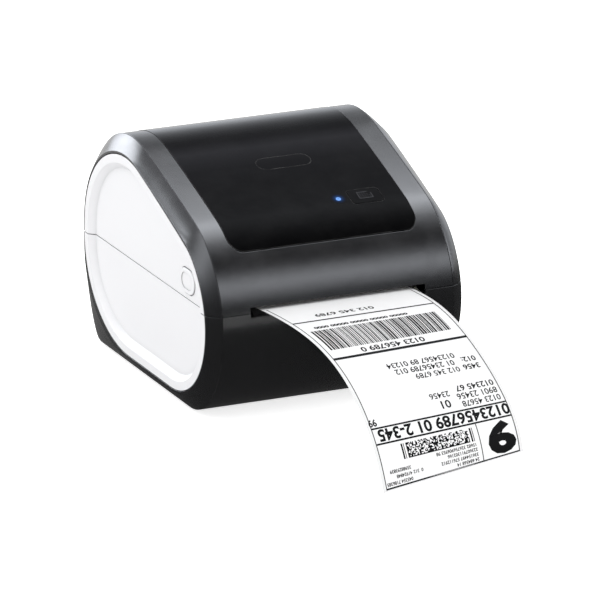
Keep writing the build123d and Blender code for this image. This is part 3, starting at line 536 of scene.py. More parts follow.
@dataclass(frozen=True)
class Steel:
    """Rolled or turned steel."""

    name: str
    colour: Colour = (0.56, 0.57, 0.58)
    dark: Colour = (0.40, 0.41, 0.42)
    roughness: float = 0.32
    lines: Point = (40.0, 2500.0, 2500.0)
    depth: float = 0.000004

    def build(self) -> bpy.types.Material:
        """Makes the material.

        Returns:
            The finished material.
        """
        s = Shader(self.name, Metallic=1.0)
        g = s.graph
        x, y, z = self.lines
        lines = s.group(EFFECTS.brushed, Along_X=x, Along_Y=y, Along_Z=z)
        edge = s.group(EFFECTS.edges, Radius=0.00015, Amount=0.6)
        base = g.mix(lines.outputs["Shade"], (*self.dark, 1.0), (*self.colour, 1.0))
        s.feed("Base Color", g.mix(edge.outputs["Mask"], base, grey(0.75)))
        rough = g.remap(lines.outputs["Shade"], 0.3, 0.7, self.roughness - 0.07, self.roughness + 0.1)
        s.feed("Roughness", rough)
        s.bump(lines.outputs["Height"], self.depth, normal=edge.outputs["Normal"])
        return s.material


@dataclass(frozen=True)
class Rubber:
    """Matt rubber with a ground surface."""

    name: str
    colour: Colour = (0.016, 0.016, 0.017)
    roughness: float = 0.78

    def build(self) -> bpy.types.Material:
        """Makes the material.

        Returns:
            The finished material.
        """
        s = Shader(self.name, Specular_IOR_Level=0.1)
        g = s.graph
        grain = s.group(EFFECTS.grain, Scale=1600.0, Roughness=self.roughness, Spread=0.1)
        dust = s.group(EFFECTS.dust, Amount=0.12, Specks=0.8)
        s.feed("Base Color", g.mix(dust.outputs["Mask"], (*self.colour, 1.0), (0.3, 0.29, 0.28, 1.0)))
        s.feed("Roughness", grain.outputs["Roughness"])
        s.bump(grain.outputs["Height"], 0.00003)
        return s.material


@dataclass(frozen=True)
class Paper:
    """Coated label paper or the grey board of a core."""

    name: str
    colour: Colour = (0.91, 0.91, 0.915)
    shade: Colour = (0.87, 0.87, 0.875)
    roughness: float = 0.62
    fibre: float = 1400.0
    depth: float = 0.000006
    rings: float = 0.0
    axis: Place = (0.0, 0.0)
    spread: float = 0.05
    gap_tone: float = 0.72

    def build(self) -> bpy.types.Material:
        """Makes the material.

        Returns:
            The finished material.
        """
        s = Shader(self.name, Specular_IOR_Level=0.25)
        g = s.graph
        fibre = s.group(EFFECTS.fibre, Scale=self.fibre)
        base = g.mix(fibre.outputs["Cloud"], (*self.shade, 1.0), (*self.colour, 1.0))
        if self.rings:
            base = g.mix(self._ring_mask(g), base, (*(c * self.gap_tone for c in self.shade), 1.0))
        s.feed("Base Color", base)
        low, high = self.roughness - self.spread, self.roughness + self.spread
        s.feed("Roughness", g.remap(fibre.outputs["Cloud"], 0.3, 0.7, low, high))
        s.bump(fibre.outputs["Height"], self.depth)
        return s.material

    def _ring_mask(self, g: Graph) -> Socket:
        """The edges of the wound layers, on the flat ends of a roll.

        Args:
            g: the material's graph.

        Returns:
            A mask that is high in the gaps between layers.
        """
        at = g.node("SeparateXYZ", {0: g.here()})
        across = g.math("SUBTRACT", at.outputs[1], self.axis[0])
        above = g.math("SUBTRACT", at.outputs[2], self.axis[1])
        square = g.math("ADD", g.math("MULTIPLY", across, across), g.math("MULTIPLY", above, above))
        reach = g.math("SQRT", square)
        wave = g.math("SINE", g.math("MULTIPLY", reach, self.rings * math.tau))
        uneven = g.node("TexNoise", {"Scale": 90.0, "Detail": 2.0}, noise_dimensions="1D")
        g.link(g.math("MULTIPLY", reach, 60.0), uneven.inputs["W"])
        side = g.node("SeparateXYZ", {0: g.node("NewGeometry").outputs["Normal"]}).outputs[0]
        flat = g.math("GREATER_THAN", g.math("ABSOLUTE", side), 0.7)
        strong = g.remap(uneven.outputs[0], 0.3, 0.7, 0.3, 1.0)
        gaps = g.math("MULTIPLY", g.remap(wave, 0.2, 1.0, 0.0, 0.8), strong)
        return g.math("MULTIPLY", gaps, flat, clamp=True)


@dataclass(frozen=True)
class CircuitBoard:
    """Green solder mask over copper tracks."""

    name: str
    mask: Colour = (0.012, 0.085, 0.03)
    track: Colour = (0.03, 0.16, 0.055)
    pitch: float = 260.0

    def build(self) -> bpy.types.Material:
        """Makes the material.

        Returns:
            The finished material.
        """
        s = Shader(self.name, Specular_IOR_Level=0.5)
        g = s.graph
        at = g.here()
        inputs = {"Vector": at, "Scale": self.pitch, "Mortar Size": 0.16, "Mortar Smooth": 0.0}
        cells = g.node("TexBrick", inputs)
        cells.offset = 0.5
        bends = g.node("TexVoronoi", {"Vector": at, "Scale": self.pitch * 0.6}, distance="CHEBYCHEV")
        lanes = g.math("GREATER_THAN", g.math("FRACT", g.math("MULTIPLY", bends.outputs[0], 3.0)), 0.55)
        tracks = g.math("MULTIPLY", lanes, g.math("SUBTRACT", 1.0, cells.outputs["Fac"]))
        grain = s.group(EFFECTS.grain, Scale=1200.0, Roughness=0.3, Spread=0.1)
        dust = s.group(EFFECTS.dust, Amount=0.06, Specks=0.5)
        base = g.mix(tracks, (*self.mask, 1.0), (*self.track, 1.0))
        s.feed("Base Color", g.mix(dust.outputs["Mask"], base, grey(0.3)))
        s.feed("Roughness", grain.outputs["Roughness"])
        s.bump(tracks, 0.00003)
        return s.material


@dataclass(frozen=True)
class LampLens:
    """The blue lamp's lens, brightest at its middle."""

    name: str
    centre: Colour = (0.34, 0.62, 1.0)
    rim: Colour = (0.16, 0.36, 0.85)
    strength: float = 1.0
    radius: float = 0.0016
    middle: Point = (0.0, 0.0, 0.0)

    def build(self) -> bpy.types.Material:
        """Makes the material.

        Returns:
            The finished material.
        """
        s = Shader(self.name, Roughness=0.25, Emission_Strength=self.strength)
        g = s.graph
        at = g.here()
        away = g.node("VectorMath", {0: at, 1: self.middle}, operation="DISTANCE").outputs["Value"]
        grain = s.group(EFFECTS.grain, Scale=1500.0, Roughness=0.2, Spread=0.05)
        wobble = g.math("MULTIPLY", grain.outputs["Height"], 0.0001)
        rim = g.remap(g.math("ADD", away, wobble), 0.2 * self.radius, 1.05 * self.radius, 0.0, 1.0)
        glow = g.mix(rim, (*self.centre, 1.0), (*self.rim, 1.0))
        s.feed("Base Color", glow)
        s.feed("Emission Color", glow)
        s.feed("Roughness", grain.outputs["Roughness"])
        return s.material


@dataclass(frozen=True)
class LampHalo:
    """The soft blue spill of the lamp on the window around it."""

    name: str
    colour: Colour = (0.10, 0.28, 0.75)
    far_colour: Colour = (0.0, 0.02, 0.2)
    strength: float = 0.8
    radius: float = 0.0058
    middle: Point = (0.0, 0.0, 0.0)

    def build(self) -> bpy.types.Material:
        """Makes the material.

        Returns:
            The finished material.
        """
        plain = {"Roughness": 0.6, "Specular_IOR_Level": 0.0, "Emission_Strength": self.strength}
        s = Shader(self.name, Base_Color=grey(0.0), **plain)
        g = s.graph
        at = g.here()
        away = g.node("VectorMath", {0: at, 1: self.middle}, operation="DISTANCE").outputs["Value"]
        near = g.remap(away, 0.0, self.radius, 1.0, 0.0)
        s.feed("Emission Color", g.mix(near, (*self.far_colour, 1.0), (*self.colour, 1.0)))
        s.feed("Alpha", g.math("MULTIPLY", g.math("POWER", near, 2.4), 0.9))
        return s.material


@dataclass(frozen=True)
class Ink:
    """Heat-darkened print on a label, or a pad-printed mark."""

    name: str
    colour: Colour = (0.003, 0.003, 0.0033)
    faded: Colour = (0.010, 0.010, 0.0105)
    roughness: float = 0.5
    spread: float = 0.06

    def build(self) -> bpy.types.Material:
        """Makes the material.

        Returns:
            The finished material.
        """
        s = Shader(self.name, Specular_IOR_Level=0.1)
        g = s.graph
        fibre = s.group(EFFECTS.fibre, Scale=1800.0)
        weak = g.remap(fibre.outputs["Height"], 0.5, 0.8, 0.0, 1.0)
        s.feed("Base Color", g.mix(weak, (*self.colour, 1.0), (*self.faded, 1.0)))
        low, high = self.roughness - self.spread, self.roughness + self.spread
        s.feed("Roughness", g.remap(fibre.outputs["Cloud"], 0.3, 0.7, low, high))
        s.bump(fibre.outputs["Height"], 0.000003)
        return s.material


# ------------------------------------------------------------------ making pieces
def settle(
    piece: bpy.types.Object, body: Body, slot: Slot, material: bpy.types.Material, *stands_for: str
) -> None:
    """Gives a modelled piece its finish and its body.

    Args:
        piece: the object.
        body: the CAD body that it rides on.
        slot: not used.
        material: its material.
        *stands_for: the CAD nodes that it replaces.
    """
    piece.data.materials.clear()
    piece.data.materials.append(material)
    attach(piece, body.value)
    if stands_for:
        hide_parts(*stands_for)
    log.info("piece %s on %s, %d faces", piece.name, body.value, len(piece.data.polygons))


def mesh_piece(
    name: str, points: Iterable[Sequence[float]], faces: Iterable[Sequence[int]]
) -> bpy.types.Object:
    """Makes a smooth-shaded object from points and faces.

    Args:
        name: the piece's name.
        points: the corners, in metres.
        faces: corner numbers of each face.

    Returns:
        The new object, linked to the scene.
    """
    mesh = bpy.data.meshes.new(name)
    mesh.from_pydata([tuple(p) for p in points], [], [tuple(f) for f in faces])
    mesh.polygons.foreach_set("use_smooth", [True] * len(mesh.polygons))
    mesh.update()
    piece = bpy.data.objects.new(name, mesh)
    bpy.context.scene.collection.objects.link(piece)
    return piece


def centre_of(node: str) -> Vector:
    """The middle of a CAD node's box."""
    low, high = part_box(node)
    return (low + high) / 2


# ------------------------------------------------------------------ the label
@dataclass
class LabelSheet:
    """The web of labels from the roll to its hanging end, and the print on it."""

    width: float = 0.1016
    thickness: float = 0.00018
    rows: int = 190
    columns: int = 20
    left_edge: tuple[Place, ...] = (
        (0.0044, 0.0757), (0.0257, 0.0770), (0.0606, 0.0780), (0.0904, 0.0749), (0.1086, 0.0705),
        (0.1261, 0.0631), (0.1396, 0.0562), (0.1510, 0.0464), (0.1634, 0.0309), (0.1732, 0.0144),
    )
    right_edge: tuple[Place, ...] = (
        (0.0041, 0.0754), (0.0329, 0.0758), (0.0618, 0.0723), (0.0882, 0.0652), (0.1186, 0.0518),
        (0.1406, 0.0368), (0.1505, 0.0186),
    )
    corner: Place = (0.0105, 0.0740)
    start: Place = (0.071249, 0.117166)
    turn_share: float = 0.12
    fullness: float = 0.56
    level_run: float = 0.008
    lip: Place = (0.0066, 0.0745)
    lip_run: float = 0.006
    ink_rise: float = 0.00004

    def __post_init__(self) -> None:
        """Works out both edges as evenly spaced points."""
        self.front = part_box("base_shell")[0].y
        self.left = self._edge(self.left_edge)
        self.right = self._edge(self.right_edge)

    def _inside(self) -> list[Place]:
        """The web's line from the roll to the slot.

        Returns:
            Points as (y, z).
        """
        start, corner = np.array(self.start), np.array(self.corner)
        turn = corner + (start - corner) * self.turn_share
        level = corner - np.array((self.level_run, 0.0))
        soft_turn = turn + (corner - turn) * self.fullness
        soft_level = level + (corner - level) * self.fullness
        curve = self._bezier((turn, soft_turn, soft_level, level), 10)
        lip = np.array((self.front + self.lip[0], self.lip[1]))
        out = self._bezier((level, np.array((lip[0] + self.lip_run, corner[1])), lip), 8)
        return [tuple(start + (turn - start) * t) for t in np.linspace(0, 1, 12)] + curve[1:] + out[1:]

    @staticmethod
    def _bezier(controls: Sequence[np.ndarray], count: int) -> list[Place]:
        """Points along a Bezier curve.

        Args:
            controls: its control points.
            count: how many steps.

        Returns:
            The points, ends included.
        """
        degree = len(controls) - 1
        found = []
        for t in np.linspace(0, 1, count + 1):
            weights = [math.comb(degree, k) * t**k * (1 - t) ** (degree - k) for k in range(degree + 1)]
            found.append(tuple(sum(w * c for w, c in zip(weights, controls))))
        return found

    def _edge(self, outside: Sequence[Place]) -> np.ndarray:
        """One edge of the web at even steps, smoothed outside the slot.

        Args:
            outside: its places outside, as (reach beyond the front, height).

        Returns:
            An array of (y, z), with a third of its rows inside the housing's lip.
        """
        inside = np.array(self._inside())
        out = np.array([(self.front - reach, z) for reach, z in outside])
        joined = np.vstack([inside[-1:], out])
        fine = self._smooth(joined, 400)
        near = self._even(inside, self.rows // 3 + 1)
        far = self._even(fine, self.rows - self.rows // 3 + 1)
        return np.vstack([near[:-1], far])

    @staticmethod
    def _smooth(points: np.ndarray, count: int) -> np.ndarray:
        """A low-order curve fitted through scattered points, ends held.

        Args:
            points: the places to pass near.
            count: how many points to return.

        Returns:
            The smoothed points.
        """
        steps = np.r_[0, np.cumsum(np.hypot(*np.diff(points, axis=0).T))]
        t = steps / steps[-1]
        weights = np.ones(len(t))
        weights[[0, -1]] = 30
        fits = [np.polyfit(t, points[:, k], min(5, len(t) - 2), w=weights) for k in (0, 1)]
        fine = np.linspace(0, 1, count)
        curve = np.column_stack([np.polyval(f, fine) for f in fits])
        curve += (1 - fine)[:, None] * (points[0] - curve[0]) + fine[:, None] * (points[-1] - curve[-1])
        return curve

    @staticmethod
    def _even(points: np.ndarray, count: int) -> np.ndarray:
        """The same line at evenly spaced points.

        Args:
            points: the line.
            count: how many points to return.

        Returns:
            The new points.
        """
        steps = np.r_[0, np.cumsum(np.hypot(*np.diff(points, axis=0).T))]
        even = np.linspace(0, steps[-1], count)
        return np.column_stack([np.interp(even, steps, points[:, k]) for k in (0, 1)])

    def at(self, across: float, down: float) -> tuple[Vector, Vector]:
        """A place on the web's upper face and its normal.

        Args:
            across: from 0 at the left edge to 1 at the right.
            down: from 0 at the hanging end to 1 at the slot's lip.

        Returns:
            The place and the unit normal, upwards and outwards.
        """
        last = len(self.left) - 1
        span = last - self.rows // 3
        row = min(max(last - down * span, 0.0), float(last))
        low = min(int(row), last - 1)
        part = row - low

        def on(side: np.ndarray, x: float) -> Vector:
            """A point of one edge."""
            y, z = side[low] * (1 - part) + side[low + 1] * part
            return Vector((x, y, z))

        left, right = on(self.left, -self.width / 2), on(self.right, self.width / 2)
        place = left.lerp(right, across)
        ahead = Vector((0, *(self.left[low + 1] - self.left[low]))).lerp(
            Vector((0, *(self.right[low + 1] - self.right[low]))), across
        )
        normal = (right - left).cross(-ahead).normalized()
        if normal.z < 0:
            normal = -normal
        return place + normal * self.thickness / 2, normal

    def build(self, paper: bpy.types.Material, ink: bpy.types.Material) -> None:
        """Makes the sheet and its print.

        Args:
            paper: the paper's material.
            ink: the print's material.
        """
        points, faces = [], []
        across = np.linspace(0, 1, self.columns + 1)
        for (ly, lz), (ry, rz) in zip(self.left, self.right):
            for u in across:
                points.append(((u - 0.5) * self.width, ly + (ry - ly) * u, lz + (rz - lz) * u))
        wide = self.columns + 1
        for row in range(len(self.left) - 1):
            for col in range(self.columns):
                a = row * wide + col
                faces.append((a, a + wide, a + wide + 1, a + 1))
        sheet = mesh_piece("label_sheet", points, faces)
        thick = sheet.modifiers.new("thickness", "SOLIDIFY")
        thick.thickness = self.thickness
        thick.offset = 0.0
        settle(sheet, Body.BASE, Slot.LABEL_PAPER, paper, "label_strip")
        LabelPrint(self).build(ink)


@dataclass
class LabelPrint:
    """Plain rules, bars, digits and a square code, in millimetres on the flat label.

    U runs from the left edge to the right and V from the hanging end to the slot.
    """

    sheet: LabelSheet
    length: float = 180.0
    seed: int = 11
    cut: float = 2.2
    lean: tuple[Place, ...] = (
        (0.0, 0.0), (24.0, -2.0), (34.0, -1.0), (60.0, 3.0), (86.0, 7.0), (98.0, 7.4), (124.0, 5.2),
        (139.0, 1.6), (170.0, 0.0),
    )
    edge: float = 2.2
    edge_line: float = 0.6
    foot: float = 0.9
    rules: tuple[Place, ...] = ((0.9, 0.9), (25.0, 1.0), (34.0, 1.0), (86.3, 2.2), (139.0, 1.7))
    divider: tuple[float, ...] = (72.6, 73.2, 0.9, 25.0)
    bars: tuple[float, ...] = (6.0, 93.6, 97.0, 123.7)
    bar_widths: tuple[float, ...] = (0.45, 0.7, 1.0, 1.4)
    bar_gaps: tuple[float, ...] = (0.4, 0.55, 0.8)
    code_span: Place = (22.0, 66.0)
    code_rows: int = 13
    code_height: Place = (14.6, 23.4)
    code_fill: float = 0.52
    code_ends: Place = (18.6, 67.2)

    def __post_init__(self) -> None:
        """Starts with nothing printed."""
        self.flat = bmesh.new()
        self.draw = random.Random(self.seed)
        self.width = self.sheet.width * 1000

    def bar(self, u0: float, u1: float, v0: float, v1: float) -> None:
        """Prints one rectangle.

        Args:
            u0: its left side.
            u1: its right side.
            v0: its lower side.
            v1: its upper side.
        """
        corners = [self.flat.verts.new((u, v, 0)) for u, v in ((u0, v0), (u1, v0), (u1, v1), (u0, v1))]
        self.flat.faces.new(corners)

    def digits(self, text: str, u: float, v: float, height: float, stretch: float, bold: float) -> None:
        """Prints a row of digits that reads from the slot's side.

        Args:
            text: the digits.
            u: the row's right end, where its first digit stands.
            v: the row's side nearer to the hanging end.
            height: the digits' height.
            stretch: how wide they are drawn.
            bold: how much each outline is thickened.
        """
        curve = bpy.data.curves.new("digits", "FONT")
        curve.body = text
        curve.size = height * 1.38
        curve.offset = bold
        curve.resolution_u = 3
        carrier = bpy.data.objects.new("digits", curve)
        bpy.context.scene.collection.objects.link(carrier)
        bpy.context.view_layer.update()
        mesh = bpy.data.meshes.new_from_object(carrier)
        mesh.transform(Matrix(((-stretch, 0, 0, u), (0, -1, 0, v + height), (0, 0, 1, 0), (0, 0, 0, 1))))
        self.flat.from_mesh(mesh)
        bpy.data.objects.remove(carrier)
        bpy.data.curves.remove(curve)
        bpy.data.meshes.remove(mesh)

    def barcode(self, u0: float, u1: float, v0: float, v1: float) -> None:
        """Prints upright bars of four widths.

        Args:
            u0: the left end.
            u1: the right end.
            v0: the lower side.
            v1: the upper side.
        """
        u = u0
        while u < u1 - 0.5:
            wide = self.draw.choice(self.bar_widths)
            self.bar(u, min(u + wide, u1), v0, v1)
            u += wide + self.draw.choice(self.bar_gaps)

    def square_code(self, u0: float, u1: float, v0: float, v1: float, count: int) -> None:
        """Prints a square code with two solid sides and random cells.

        Args:
            u0: the left side.
            u1: the right side.
            v0: the lower side.
            v1: the upper side.
            count: cells along the short side.
        """
        cell = (v1 - v0) / count
        columns = int((u1 - u0) / cell)
        for row in range(count):
            col = 0
            while col < columns:
                run = 0
                while col + run < columns and (
                    row == 0 or col + run == 0 or self.draw.random() < self.code_fill
                ):
                    run += 1
                if run:
                    u = u0 + col * cell
                    self.bar(u, u + run * cell, v0 + row * cell, v0 + (row + 1) * cell)
                col += run + 1

    def small_rows(self, u: float, v: float, height: float, step: float, rows: Sequence[int]) -> None:
        """Prints short rows of small digits.

        Args:
            u: their right ends.
            v: the lowest row's place.
            height: the digits' height.
            step: the distance between rows.
            rows: how many digits each row has, from the lowest.
        """
        for index, count in enumerate(rows):
            text = "".join(self.draw.choice("0123456789 ") for _ in range(count)).strip()
            self.digits(text, u, v + index * step, height, 1.05, 0.07)

    def layout(self) -> None:
        """Prints the whole label."""
        far = self.width - self.edge
        for u in (self.edge, far - self.edge_line):
            self.bar(u, u + self.edge_line, self.foot, self.length - 6.0)
        for v, thick in self.rules:
            self.bar(self.edge, far, v, v + thick)
        self.bar(*self.divider)
        self.barcode(*self.bars)
        for text, u, v, height, stretch, bold in LABEL_TEXT:
            self.digits(text, u, v, height, stretch, bold)
        self.square_code(*self.code_span, *self.code_height, self.code_rows)
        for u in self.code_ends:
            self.bar(u, u + 1.1, *self.code_height)
            self.bar(u + 1.7, u + 2.2, *self.code_height)
        for u, v, height, step, rows in LABEL_BLOCKS:
            self.small_rows(u, v, height, step, rows)

    def build(self, ink: bpy.types.Material) -> None:
        """Cuts the flat print into narrow bands and lays it on the sheet.

        Args:
            ink: the print's material.
        """
        self.layout()
        bmesh.ops.triangulate(self.flat, faces=list(self.flat.faces))
        bands = int(self.length / self.cut)
        for index in range(1, bands):
            parts = [*self.flat.verts, *self.flat.edges, *self.flat.faces]
            line = (0, index * self.cut, 0)
            bmesh.ops.bisect_plane(self.flat, geom=parts, plane_co=line, plane_no=(0, 1, 0), dist=1e-6)
        for vert in self.flat.verts:
            across = vert.co.x / self.width
            down = vert.co.y + float(np.interp(vert.co.y, *zip(*self.lean))) * across
            place, normal = self.sheet.at(across, down / self.length)
            vert.co = place + normal * self.sheet.ink_rise
        bmesh.ops.recalc_face_normals(self.flat, faces=list(self.flat.faces))
        mesh = bpy.data.meshes.new("label_print")
        self.flat.to_mesh(mesh)
        self.flat.free()
        piece = bpy.data.objects.new("label_print", mesh)
        bpy.context.scene.collection.objects.link(piece)
        settle(piece, Body.BASE, Slot.LABEL_PAPER, ink)


# Each row of digits: text, right end, lower side, height, stretch and boldness.
LABEL_TEXT = (
    ("012 345 6789", 62.0, 146.0, 5.2, 1.0, 0.16),
    ("00000 00000 00000 00000 0000", 76.0, 126.4, 3.2, 1.12, 0.22),
    ("0123 456789 0", 71.0, 89.6, 5.0, 1.1, 0.16),
    ("01234567 89 01234", 82.0, 71.0, 4.2, 1.05, 0.10),
    ("01 23456789 012", 79.0, 65.5, 4.2, 1.05, 0.10),
    ("012 345 6789", 80.0, 60.0, 4.0, 1.05, 0.08),
    ("012:", 95.0, 66.5, 4.0, 1.1, 0.14),
    ("3456", 95.0, 60.5, 4.0, 1.1, 0.14),
    ("012345 67", 97.0, 46.5, 4.0, 1.15, 0.12),
    ("8901 23456", 97.0, 41.2, 4.0, 1.1, 0.08),
    ("0123 45678", 97.0, 36.2, 3.8, 1.1, 0.08),
    ("01", 62.0, 37.6, 5.0, 1.2, 0.14),
    ("23456", 64.0, 44.5, 3.8, 1.1, 0.08),
    ("99", 7.5, 35.6, 4.2, 1.0, 0.16),
    ("0123456789 01 2-345", 99.5, 26.5, 6.8, 1.13, 0.28),
    ("9", 97.5, 3.0, 19.0, 1.45, 1.25),
)
# Each block of small rows: right end, lowest row, height, step and digits in each row.
LABEL_BLOCKS = (
    (70.0, 2.4, 2.0, 3.0, (12, 19, 17, 21)),
    (22.0, 2.4, 1.9, 3.1, (14, 8, 11)),
    (30.0, 5.6, 1.9, 3.1, (6,)),
)


# ------------------------------------------------------------------ marks and lamp
@dataclass
class WindowMarks:
    """What sits on the window: the lamp's spill and the feed key's mark."""

    halo_radius: float = 0.0058
    halo_rise: float = 0.00012
    mark_size: Place = (0.0092, 0.0066)
    mark_rise: float = 0.00006
    stroke: float = 0.00045
    dots: tuple[int, int] = (5, 4)
    dot_share: float = 0.6
    halo_rings: int = 8
    halo_sides: int = 48

    def __post_init__(self) -> None:
        """Takes the feed key's outward direction from its joint."""
        joint = next(j for j in frame["joints"] if j["name"] == "feed_press")
        self.key_axis = -Vector(joint["axis"]).normalized()

    def _face_place(self, node: str, rise: float) -> Vector:
        """The middle of a node's outer face, lifted along the slope's normal.

        Args:
            node: the CAD node.
            rise: how far above its face.

        Returns:
            The place.
        """
        cad = frame["nodes"][node]
        spots = np.array([v.co for v in cad.data.vertices], float)
        reach = spots @ np.array(self.key_axis)
        middle = (spots.min(0) + spots.max(0)) / 2
        level = float(reach.max() - middle @ np.array(self.key_axis))
        return Vector(middle) + self.key_axis * (level + rise)

    def lamp_place(self) -> Vector:
        """The middle of the lamp's outer face."""
        return self._face_place("status_lens", 0.0)

    def halo(self, material: bpy.types.Material) -> None:
        """Makes the lamp's spill as a thin disc.

        Args:
            material: its material.
        """
        middle = self._face_place("status_lens", self.halo_rise)
        side = Vector((1, 0, 0))
        up = self.key_axis.cross(side)
        points, faces, around = [middle], [], self.halo_sides
        for ring in range(1, self.halo_rings + 1):
            radius = self.halo_radius * ring / self.halo_rings
            for step in range(around):
                angle = math.tau * step / around
                out = side * (radius * math.cos(angle)) + up * (radius * math.sin(angle))
                points.append(middle + out)
        for step in range(around):
            faces.append((0, 1 + step, 1 + (step + 1) % around))
            for ring in range(self.halo_rings - 1):
                a, b = 1 + ring * around, 1 + (ring + 1) * around
                faces.append((a + step, b + step, b + (step + 1) % around, a + (step + 1) % around))
        settle(mesh_piece("lamp_halo", points, faces), Body.COVER, Slot.LAMP_BLUE, material)

    def key_mark(self, material: bpy.types.Material) -> None:
        """Makes the mark on the feed key: a sheet's outline with a field of dots.

        Args:
            material: its material.
        """
        middle = self._face_place("feed_button", self.mark_rise)
        side = Vector((1, 0, 0))
        up = self.key_axis.cross(side)
        points: list[Vector] = []
        faces: list[tuple[int, ...]] = []

        def strip(x0: float, x1: float, y0: float, y1: float) -> None:
            """Adds one rectangle in the key's plane.

            Args:
                x0: its left side.
                x1: its right side.
                y0: its lower side.
                y1: its upper side.
            """
            first = len(points)
            corners = ((x0, y0), (x1, y0), (x1, y1), (x0, y1))
            points.extend(middle + side * x + up * y for x, y in corners)
            faces.append((first, first + 1, first + 2, first + 3))

        half_x, half_y, s = self.mark_size[0] / 2, self.mark_size[1] / 2, self.stroke
        strip(-half_x, half_x, -half_y, -half_y + s)
        strip(-half_x, -half_x + s, -half_y + s, half_y)
        strip(half_x - s, half_x, -half_y + s, half_y * 0.5)
        strip(-half_x + s, half_x * 0.55, half_y - s, half_y)
        columns, rows = self.dots
        dot = s * self.dot_share
        for col in range(columns):
            for row in range(rows):
                x = -half_x + (col + 1.0) * self.mark_size[0] / (columns + 1)
                y = -half_y + (row + 1.0) * self.mark_size[1] / (rows + 1)
                if col + row < columns + rows - 3:
                    strip(x - dot, x + dot, y - dot, y + dot)
        settle(mesh_piece("feed_key_mark", points, faces), Body.FEED_KEY, Slot.GLOSS_BLACK, material)


# ------------------------------------------------------------------ springs
@dataclass
class WireSpring:
    """A helical compression spring that stands for a CAD tube."""

    name: str
    node: str
    body: Body
    joint: str
    axis: Point
    radius: float
    turns: float
    length: float
    keep: float
    centres: tuple[Point, ...]
    wire: float = 0.00045
    turn_steps: int = 28
    wire_sides: int = 8
    closing: float = 0.056

    def build(self, material: bpy.types.Material) -> None:
        """Makes the coils.

        Args:
            material: their material.
        """
        along = Vector(self.axis).normalized()
        side = along.orthogonal().normalized()
        other = along.cross(side)
        steps, ring = int(self.turns * self.turn_steps), self.wire_sides
        points: list[Vector] = []
        faces: list[tuple[int, ...]] = []
        for centre in self.centres:
            first = len(points)
            for step in range(steps + 1):
                share = step / steps
                angle = share * self.turns * math.tau
                eased = share - self.closing * math.pi * math.sin(share * math.tau)
                out = side * math.cos(angle) + other * math.sin(angle)
                middle = Vector(centre) + along * (self.wire + eased * (self.length - 2 * self.wire))
                middle += out * (self.radius - self.wire)
                for k in range(ring):
                    turn = math.tau * k / ring
                    points.append(middle + (out * math.cos(turn) + along * math.sin(turn)) * self.wire)
            for step in range(steps):
                for k in range(ring):
                    a, b = first + step * ring, first + (step + 1) * ring
                    faces.append((a + k, a + (k + 1) % ring, b + (k + 1) % ring, b + k))
            last = first + steps * ring
            faces.append(tuple(first + ring - 1 - k for k in range(ring)))
            faces.append(tuple(last + k for k in range(ring)))
        piece = mesh_piece(self.name, points, faces)
        settle(piece, self.body, Slot.TURNED_STEEL, material, self.node)
        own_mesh(piece)


def springs() -> list[WireSpring]:
    """The print head's pair of springs and the one behind each release button.

    Returns:
        The springs, in the order that they are made.
    """
    places = ((-0.025, -0.0025, 0.0894), (0.025, -0.0025, 0.0894))
    made = [WireSpring(
        "head_coils", "head_springs", Body.COVER, "head_lift", (0.0, 0.0, -1.0),
        radius=0.003, turns=6.0, length=0.0098, keep=0.898, centres=places
    )]
    for side, sign in (("left", -1.0), ("right", 1.0)):
        made.append(WireSpring(
            f"{side}_release_coil", f"{side}_release_spring", Body.COVER, f"{side}_release_press",
            (sign, 0.0, 0.0), radius=0.0036, turns=3.5, length=0.006, keep=0.5,
            centres=((sign * 0.061, 0.0245, 0.0855),)
        ))
    return made


# ------------------------------------------------------------------ finishes by node
NODE_FINISHES: dict[Slot, object] = {
    Slot.SATIN_BLACK: MouldedPlastic(
        "satin_black_shell", (0.0062, 0.0064, 0.0072), 0.2, 0.04, 1100.0, 0.000004, 1.0, 0.0005, 0.35
    ),
    Slot.BEVEL_BLACK: MouldedPlastic(
        "satin_black_rim", (0.0068, 0.007, 0.0078), 0.2, 0.04, 1100.0, 0.000004, 1.0, 0.0004, 0.3
    ),
    Slot.WHITE_PANEL: MouldedPlastic(
        "white_side_panel", (0.85, 0.85, 0.865), 0.42, 0.06, 1200.0, 0.000006, 0.4, 0.0005, 0.15,
        (0.9, 0.9, 0.9), 0.03, crevice_shade=0.005
    ),
    Slot.GLOSS_BLACK: GlossPlastic("gloss_black_window"),
    Slot.SOFT_RUBBER: Rubber("ground_black_rubber"),
    Slot.INNER_PLASTIC: MouldedPlastic(
        "inner_black_plastic", (0.011, 0.011, 0.012), 0.55, 0.12, 700.0, 0.00002, 0.5, 0.0003, 0.3
    ),
    Slot.SHEET_STEEL: Steel("zinc_sheet_steel"),
    Slot.TURNED_STEEL: Steel(
        "turned_steel", (0.60, 0.60, 0.61), (0.46, 0.46, 0.47), 0.25, (2500.0, 60.0, 60.0)
    ),
    Slot.GEAR_PLASTIC: MouldedPlastic(
        "natural_gear_plastic", (0.72, 0.70, 0.62), 0.38, 0.1, 900.0, 0.000008, 0.5, 0.0002, 0.2,
        (0.85, 0.83, 0.75)
    ),
    Slot.CIRCUIT_GREEN: CircuitBoard("green_circuit_board"),
    Slot.HEAD_ALUMINIUM: Steel(
        "head_aluminium", (0.70, 0.71, 0.72), (0.58, 0.59, 0.60), 0.36, (60.0, 1800.0, 1800.0)
    ),
    Slot.HEAD_CERAMIC: MouldedPlastic(
        "glazed_head_ceramic", (0.36, 0.33, 0.28), 0.12, 0.04, 400.0, 0.000002, 0.6, 0.0002, 0.2,
        (0.5, 0.48, 0.42)
    ),
}


